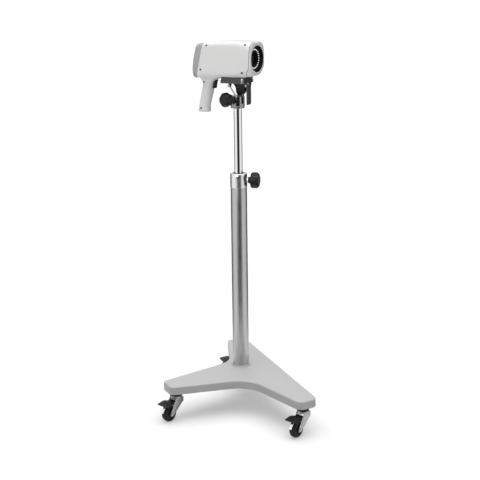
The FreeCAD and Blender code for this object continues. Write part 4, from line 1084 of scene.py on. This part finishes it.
    def _lens(self) -> None:
        """Make the ring round the lens, the lamps' board, the barrel and the glass."""
        rim, glass, back = self.face, 16.9, -10.4
        face = [(21.6, -2.5), (rim - 0.1, -2.5), (rim - 0.1, 10.4, 0.3), (rim - 1.2, 10.4, 0.3),
                (rim - 3.2, 1.0, 1.0), (rim - 4.2, 0.0, 0.5), (24.4, 0.0, 0.5),
                (23.6, 1.4, 0.4), (22.2, 1.4, 0.4), (21.6, 0.4), (21.6, -2.5)]
        board = [(22.0, -4.4), (22.0, -2.8), (36.0, -2.8), (36.0, -4.4), (22.0, -4.4)]
        barrel = [(14.0, -53), (21.5, -53), (21.5, 1.2, 0.5), (20.6, 2.0, 0.6),
                  (19.2, 2.0, 0.4), (18.6, 0.6, 0.4), (18.6, -1.0, 0.3), (17.9, -1.6, 0.3),
                  (17.9, -3.4, 0.3), (17.4, -4.0, 0.3), (17.2, back), (14.0, -10.6),
                  (14.0, -53)]
        dome = [(r, -4.6 - (r / glass) ** 2 * 2.6) for r in (0, 3, 6, 9, 12, 14, 15.5, glass)]
        for name, slot, node, steps, profile, arc in (
                ("lens_face_skin", "lens_black", "lens_face", 96, face, 4),
                ("lamp_board_skin", "board_green", "led_board", 96, board, 5),
                ("barrel_skin", "lens_black", "lens_barrel", 96, barrel, 5),
                ("glass_skin", "glass", "front_glass", 64, dome + [(glass, back), (0, back)],
                 5)):
            self._mount(Shape().turn(profile, steps, arc=arc), name, slot, [node],
                        self.lens_place)

    def _lamps(self) -> None:
        """Make the ring of lamp domes."""
        shape = Shape()
        dome = [(0, -2.5), (1.8, -2.5), (1.8, 0.9, 0.8), (1.0, 1.7, 0.6), (0, 1.8)]
        for number in range(self.lamp_count):
            spot = polar(self.lamp_ring, 360.0 * number / self.lamp_count)
            shape.turn(dome, 20, Matrix.Translation((*spot, 0.0)), arc=4)
        self._mount(shape, "lamp_domes", "lamp_white", ["led_lamps"], self.lens_place)

    def _grip(self) -> None:
        """Make the pistol grip as a loft of oval sections from its foot to the housing."""
        count = 72
        rings = []
        for high, rear, front, half, square in self.grip:
            ring = []
            for step in range(count):
                angle = FULL_TURN * step / count
                c, n = math.cos(angle), math.sin(angle)
                x = math.copysign(abs(c) ** (2.0 / square), c) * (front - rear) / 2.0
                y = math.copysign(abs(n) ** (2.0 / square), n) * half
                ring.append(Vector(((front + rear) / 2.0 + x, y, high)))
            rings.append(ring)
        self._mount(Shape().loft(rings, caps=True), "grip_skin", "white_housing",
                    ["grip_left", "grip_right"], sharp=60.0)

    @staticmethod
    def _cross(radius: float, height: float, angle: float) -> tuple[float, float]:
        """Sink a cross into a screw head.

        Args:
            radius: A point's distance from the axis.
            height: Its place along the axis.
            angle: Its angle round the axis.

        Returns:
            The point's new radius and height.
        """
        x, y = abs(radius * math.cos(angle)), abs(radius * math.sin(angle))
        arm = 1.0 - smooth_step(0.35, 0.6, min(x, y))
        reach = 1.0 - smooth_step(1.5, 1.9, max(x, y))
        return radius, height - 0.8 * arm * reach

    def _screws(self) -> None:
        """Make the housing's screws, the upper ones on its rounded edge, and the grip's."""
        profile = [(r, 1.35 - 0.1 * r * r) for r in [0.2 * k for k in range(12)]]
        profile += [(2.6, 0.62), (2.9, 0.3), (3.0, 0.0), (1.5, 0.0), (1.5, -10.0), (0, -10.0)]
        housing = [(x, out * side, self.deck + up, (lean - 90) * side)
                   for x, up, out, lean in self.housing_screws for side in (-1, 1)]
        grip = [(x, -out, self.deck - drop, 90) for x, drop, out in self.grip_screws]
        for name, places in (("housing_screw", housing), ("grip_screw", grip)):
            heads = Shape()
            for x, y, z, degrees in places:
                move = (Matrix.Translation((x, y, z))
                        @ Matrix.Rotation(math.radians(degrees), 4, "X"))
                heads.turn(profile, 48, move, self._cross)
            self._mount(heads, f"{name}_heads", "screw_steel", [f"{name}s"])


@dataclass(frozen=True)
class CastorPlace:
    """Where one castor stands and which way its wheel trails."""

    name: str
    x: float
    y: float
    turn: float

    def matrix(self) -> Matrix:
        """The castor's own frame: X along the trail, Z up, origin on the floor."""
        return place_at(self.x, self.y, 0.0, [("Z", self.turn)])


CASTORS = (CastorPlace("left", -102.98, -223.84, 259.0),
           CastorPlace("right", 289.70, -151.03, 259.0),
           CastorPlace("rear", -108.80, 180.38, 229.0))


@dataclass
class Castor:
    """Pressed-steel swivel castor with a brake pedal."""

    work: Workshop
    spot: CastorPlace
    trail: float = 33.0
    axle: float = 25.0
    inside: float = 24.6
    sheet: float = 2.2
    pin_x: float = 14.0
    pin_high: float = 57.0
    pedal_slope: float = 6.6
    shoe_out: float = 30.8
    shoe_in: float = 29.8
    shoe_foot: float = 20.0
    shoe_step: float = 7.0

    def __post_init__(self) -> None:
        """Find the castor's place, its wheel's and its fork's half width."""
        self.name = self.spot.name
        self.place = self.spot.matrix()
        self.across = Matrix.Translation((self.trail, 0, self.axle)) @ UPRIGHT
        self.outer = self.inside / 2 + self.sheet

    def _mount(self, shape: Shape, stem: str, body: str, slot: str,
               replaces: Sequence[str] = (), sharp: float = 38.0,
               finish: Optional[str] = None) -> None:
        """Hang a piece on one of this castor's bodies; the rest is as in Workshop.mount."""
        self.work.mount(shape, f"{self.name}_{stem}", f"{self.name}_{body}" if body != "base"
                        else body, slot, [f"{self.name}_castor_{node}" for node in replaces],
                        self.place, sharp, finish)

    def build(self) -> None:
        """Make every piece of the castor."""
        self._cup()
        self._fork()
        self._axle()
        self._wheel()
        self._pedal()

    def _cup(self) -> None:
        """Make the mounting cup, with the swivel's stem inside."""
        cup = [(0, 64.4), (7.6, 64.4, 0.6), (8.0, 65.2), (8.0, 67.0, 0.6), (5.0, 67.4),
               (5.0, 75.4), (15.9, 75.4, 0.5), (16.0, 77.6), (17.8, 77.9, 0.5),
               (18.0, 79.0, 0.4), (18.0, 83.4, 0.5), (17.2, 84.0, 0.4), (17.2, 85.2, 0.4),
               (18.0, 85.8, 0.4), (18.0, 89.2, 0.8), (17.2, 90.0), (5.0, 90.0), (5.0, 104.0),
               (0, 104.0)]
        self._mount(Shape().turn(cup, 72), "swivel_cup", "base", "knob_black", ["cup"])

    def _fork(self) -> None:
        """Make the fork: crown, two cheeks with a raised rib each, and the web behind."""
        crown = [(5.05, 67.7), (17.6, 67.7, 0.6), (19.0, 69.0, 0.8), (19.0, 70.4, 0.5),
                 (18.0, 71.0, 0.4), (18.0, 72.2, 0.4), (18.8, 72.8, 0.4), (18.2, 74.5, 0.8),
                 (12.0, 74.7, 0.5), (5.05, 74.7), (5.05, 67.7)]
        shape = Shape().turn(crown, 72)
        trail, outer, rise = self.trail, self.outer, 0.7
        cheek = [(-17, 68.2), (-17, 54.5, 5.0), (trail - 9.5, 22.0, 7.0),
                 (trail - 5.0, 17.4, 4.0), (trail + 5.0, 17.4, 4.0), (trail + 8.0, 24.0, 6.0),
                 (22.5, 57.0, 7.0), (16.0, 61.5, 4.0), (15.0, 68.2)]
        for low in (self.inside / 2, -outer):
            shape.prism(cheek, low, low + self.sheet, 0.5, UPRIGHT, 6)
        rib = [(-11, 62), (-11, 56, 3.0), (trail - 12, 33, 3.0), (trail - 5, 33, 2.0),
               (18, 58, 3.0), (14, 62, 2.0)]
        for low in (outer, -outer - rise):
            shape.prism(rib, low, low + rise, 0.34, UPRIGHT, 4)
        web = [(-17.0, -outer), (-14.8, -outer), (-14.8, outer), (-17.0, outer)]
        shape.prism(web, 52.0, 68.0, 0.6)
        self._mount(shape, "fork_skin", "castor", "chrome", ["fork"], 32.0, "zinc")

    def _axle(self) -> None:
        """Make the wheel's axle, with a washer, a nut and the thread's end on each side."""
        outer = self.outer
        shape = Shape().turn(rod(4, outer), 32, self.across)
        hexagon = [polar(6.4, 60.0 * k) for k in range(6)]
        washer = [(0, outer), (6.9, outer), (6.9, outer + 0.6, 0.2), (4.0, outer + 0.7),
                  (0, outer + 0.7)]
        end = [(0, outer + 2.0), (3.0, outer + 2.0), (3.0, outer + 2.4, 0.3), (0, outer + 2.5)]
        for turn in (math.pi, 0.0):
            face = self.across @ Matrix.Rotation(turn, 4, "X")
            shape.turn(washer, 40, face)
            shape.prism(hexagon, outer + 0.6, outer + 2.1, 0.3, face)
            shape.turn(end, 32, face)
        self._mount(shape, "axle_skin", "castor", "chrome", ["axle"], 30.0, "zinc")

    @staticmethod
    def _pockets(radius: float, height: float, angle: float) -> tuple[float, float]:
        """Sink six dished pockets between the spokes of the wheel's core.

        Args:
            radius: A point's distance from the axis.
            height: Its place along the axis.
            angle: Its angle round the axis.

        Returns:
            The point's new radius and height.
        """
        spoke = smooth_step(0.25, 0.6, abs(math.sin(angle * 3.0)))
        sink = smooth_step(7.6, 8.8, radius) * (1.0 - smooth_step(13.4, 14.8, radius))
        return radius, height * (1.0 - 0.28 * spoke * sink)

    def _wheel(self) -> None:
        """Make the tread and the core, each the same on both sides."""
        flank = [(16.0, -9.4), (18.6, -9.8, 0.6), (20.5, -9.9, 1.2), (23.2, -8.0, 2.2),
                 (24.5, -4.6, 3.0)]
        tread = doubled(flank, (25.0, 0.0, 4.0)) + flank[:1]
        self._mount(Shape().turn(tread, 96, self.across, arc=6), "tread_skin", "wheel",
                    "tread_rubber", ["tread"])
        side = [(4.05, 11.5), (7.0, 11.5), (7.4, 11.2), (7.7, 8.6), (8.2, 8.2), (9.0, 8.1),
                (10.5, 8.0), (12.0, 8.0), (13.5, 8.1), (14.4, 8.3), (15.0, 8.9), (16.0, 9.2)]
        core = doubled(side) + side[:1]
        self._mount(Shape().turn(core, 96, self.across, self._pockets), "core_skin", "wheel",
                    "core_grey", ["core"])

    def _pedal(self) -> None:
        """Make the pedal: its arm and the sloping foot plate with six ribs."""
        px, pz = self.pin_x, self.pin_high
        arm = [(px - 4, pz + 3, 2.0), (px - 4, pz - 3, 2.0), (px + 3, pz - 4, 2.0),
               (px + 12, pz - 1.2, 2.0), (px + 23, pz - 1.2, 1.0), (px + 25, pz + 3.6, 1.0),
               (px + 4, pz + 5.6, 2.0)]
        shape = Shape().prism(arm, -10.8, 10.8, 0.6, UPRIGHT, 4)
        plate = doubled([(px + 13, -16, 3.0), (px + 20, -22.8, 4.0), (60, -22.8, 3.0),
                         (61.4, -14, 6.0)])
        hinge = px + 14
        slope = (Matrix.Translation((hinge, 0, pz + 4.2))
                 @ Matrix.Rotation(math.radians(self.pedal_slope), 4, "Y")
                 @ Matrix.Translation((-hinge, 0, 0)))
        shape.prism(plate, -2.2, 0.0, 0.7, slope)
        for number in range(6):
            x = px + 21 + 4.1 * number
            shape.prism(plaque(x, x + 1.6, 17, 0.5), -0.2, 0.7, 0.25, slope, 2)
        self._mount(shape, "pedal_skin", "pedal", "knob_black", ["pedal"], 34.0)
        self._shoe()

    def _shoe(self) -> None:
        """Make the pedal's rivet and the curled brake shoe over the tread."""
        rivet = [(0, -self.outer - 0.5), (1.6, -self.outer - 0.5, 0.3), (2.0, -self.outer)]
        shape = Shape().turn(doubled(rivet), 28,
                             Matrix.Translation((self.pin_x, 0, self.pin_high)) @ UPRIGHT)
        hub = (self.trail, self.axle)
        spread = [self.shoe_foot + self.shoe_step * k for k in range(8)]
        shoe = [polar(self.shoe_out, degrees, *hub) for degrees in spread]
        shoe += [polar(self.shoe_in, degrees, *hub) for degrees in reversed(spread)]
        shape.prism(shoe, -4.5, 4.5, 0.2, UPRIGHT)
        x, z = polar(self.shoe_out + 1.0, self.shoe_foot, *hub)
        shape.turn(rod(2.0, 5, 0.6), 24, Matrix.Translation((x, 0, z)) @ UPRIGHT)
        self._mount(shape, "brake_shoe", "pedal", "chrome")


class Studio:
    """Floor, world, lamps and camera."""

    CAMERA = Vector((1.5836, -2.8569, 1.3665))  # from the column's axis, in metres
    LENS, SENSOR = 82.5, 36.0
    YAW, PITCH, ROLL = -0.03, -14.54, -0.72
    LOW_SKY, HIGH_SKY = 0.15, 0.38
    SHADOW_LIFT = 0.35
    BOUNCE = 0.55
    FLOOR_SIZE = 60.0
    ABOVE = (0.9, 0.9, 0.9, 1.0)
    ROOM = ((-180, 0.75), (-156, 0.75), (-148, 0.07), (-116, 0.07), (-104, 0.9), (-90, 1.0),
            (-40, 1.0), (-24, 0.03), (28, 0.03), (42, 1.0), (104, 0.85), (116, 0.07),
            (148, 0.07), (156, 0.6))  # degrees from the camera's bearing, brightness

    def __init__(self) -> None:
        """Take the scene, with plain colours."""
        self.scene = bpy.context.scene
        self.scene.view_settings.view_transform = "Standard"

    def build(self) -> None:
        """Set the whole studio up."""
        self._world()
        self._floor()
        self._lamps()
        self._camera()

    def _world(self) -> None:
        """White for the eye, softer for the light, a dark room with softboxes for mirrors."""
        world = bpy.data.worlds.new("Studio white")
        self.scene.world = world
        graph = NodeGraph.empty(world)
        path = graph.add("ShaderNodeLightPath").outputs
        height = graph.add("ShaderNodeSeparateXYZ", {0: graph.where("Generated")}).outputs["Z"]
        sky = graph.remap(height, target=(self.LOW_SKY, self.HIGH_SKY))
        plain, soft, room = (
            graph.add("ShaderNodeBackground", {"Color": colour, "Strength": strength}).outputs[0]
            for colour, strength in ((WHITE, 1.0), (WHITE, sky), (self._room(graph), 1.0)))
        lit = graph.mix(path["Is Glossy Ray"], soft, room)
        shown = graph.mix(path["Is Camera Ray"], lit, plain)
        graph.add("ShaderNodeOutputWorld", {"Surface": shown})

    def _room(self, graph: NodeGraph) -> Socket:
        """Brightness of the room by its bearing from the camera, open above.

        Args:
            graph: The world's graph.

        Returns:
            The room's colour.
        """
        bearing = math.atan2(self.CAMERA.y, self.CAMERA.x)
        turned = graph.add("ShaderNodeVectorRotate", {
            "Vector": graph.where("Generated"), "Angle": -bearing}, rotation_type="Z_AXIS")
        parts = graph.add("ShaderNodeSeparateXYZ", {0: turned.outputs[0]}).outputs
        angle = graph.math("ARCTAN2", parts["Y"], parts["X"])
        share = graph.remap(angle, (-math.pi, math.pi))
        ramp = graph.add("ShaderNodeValToRGB", {0: share})
        stops = ramp.color_ramp.elements
        while len(stops) > 1:
            stops.remove(stops[-1])
        for number, (degrees, level) in enumerate(self.ROOM):
            place = (degrees + 180.0) / 360.0
            stop = stops[0] if number == 0 else stops.new(place)
            stop.position = place
            stop.color = (level, level, level, 1.0)
        above = graph.remap(parts["Z"], (0.3, 0.75))
        mixed = graph.add("ShaderNodeMix", {0: above, 6: ramp.outputs[0], 7: self.ABOVE},
                          data_type="RGBA")
        return mixed.outputs[2]

    def _floor(self) -> None:
        """A pale floor that mirrors see only near the stand."""
        bpy.ops.mesh.primitive_plane_add(size=self.FLOOR_SIZE, location=(0.0, 0.0, 0.0))
        floor = bpy.context.object
        floor.name = "studio_floor"
        material = bpy.data.materials.new("studio_floor")
        graph = NodeGraph.empty(material)
        place = graph.where()
        tone = graph.remap(graph.noise(place, 1.3), target=(0.93, 0.96))
        path = graph.add("ShaderNodeLightPath").outputs
        share = graph.remap(path["Is Diffuse Ray"], target=(1.0, self.BOUNCE))
        shade = graph.math("MULTIPLY", tone, share)
        diffuse = graph.add("ShaderNodeBsdfDiffuse", {"Color": shade}).outputs[0]
        lift = graph.math("MULTIPLY", path["Is Camera Ray"], self.SHADOW_LIFT)
        pale = graph.add("ShaderNodeEmission", {"Color": WHITE}).outputs[0]
        clear = graph.add("ShaderNodeBsdfTransparent").outputs[0]
        reach = graph.add("ShaderNodeVectorMath", {0: place}, operation="LENGTH")
        far = graph.remap(reach.outputs["Value"], (0.45, 1.1))
        gone = graph.math("MULTIPLY", far, path["Is Glossy Ray"])
        shader = graph.mix(gone, graph.mix(lift, diffuse, pale), clear)
        graph.add("ShaderNodeOutputMaterial", {"Surface": shader})
        floor.data.materials.append(material)

    def _lamps(self) -> None:
        """A wide soft sun from overhead and a faint fill on the camera head."""
        sun = bpy.data.lights.new("overhead", "SUN")
        sun.energy, sun.angle = 2.6, math.radians(70.0)
        self._hang(sun, (0.0, 0.0, 3.0), (0.05, 0.15, 0.0))
        front = bpy.data.lights.new("head_fill", "AREA")
        front.shape, front.size, front.size_y = "RECTANGLE", 0.9, 0.9
        front.energy, front.spread = 1.1, math.radians(50.0)
        self._hang(front, (0.1, -1.9, 1.35), (-0.1, 0.0, 1.06))

    def _hang(self, data: bpy.types.Light, place: tuple, aim: tuple) -> None:
        """Hang a lamp.

        Args:
            data: The light.
            place: Where it hangs, in metres.
            aim: The point that it shines at.
        """
        lamp = bpy.data.objects.new(data.name, data)
        self.scene.collection.objects.link(lamp)
        lamp.location = place
        lamp.rotation_mode = "QUATERNION"
        lamp.rotation_quaternion = (Vector(aim) - Vector(place)).to_track_quat("-Z", "Y")
        lamp.visible_camera = False

    def _camera(self) -> None:
        """The photo's own viewpoint, found from its perspective."""
        data = bpy.data.cameras.new("photo_camera")
        data.lens, data.sensor_width = self.LENS, self.SENSOR
        camera = bpy.data.objects.new("photo_camera", data)
        self.scene.collection.objects.link(camera)
        place = self.CAMERA + AXIS
        bearing = math.atan2(AXIS.y - place.y, AXIS.x - place.x) + math.radians(self.YAW)
        camera.matrix_world = (
            Matrix.Translation(place) @ Matrix.Rotation(bearing - math.pi / 2, 4, "Z")
            @ Matrix.Rotation(math.radians(90.0 + self.PITCH), 4, "X")
            @ Matrix.Rotation(math.radians(self.ROLL), 4, "Z"))
        self.scene.camera = camera


def main() -> None:
    """Load the frame, paint it, add the fine pieces and set the studio up."""
    logging.basicConfig(level=logging.INFO)
    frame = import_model()
    shop = Paintshop()
    slots = {part["node"]: part["material_slot"] for part in frame["record"]["subparts"]}
    for name, node in frame["nodes"].items():
        shop.paint(node, slots[name])
    work = Workshop(shop)
    pieces = [
        BaseCover(work), Column(work),
        StarKnob(work, "height_knob", "height_knob_turn", 16.0, 38.0, 707.5, 0.0),
        StarKnob(work, "pan_knob", "pan_knob_turn", 253.0, 34.0, 953.5, 20.0, 21.5,
                 11.0, 27.3),
        PoleHead(work), Head(work)]
    for piece in pieces + [Castor(work, spot) for spot in CASTORS]:
        piece.build()
        log.info("built %s", type(piece).__name__)
    Studio().build()


if __name__ == "__main__":
    main()
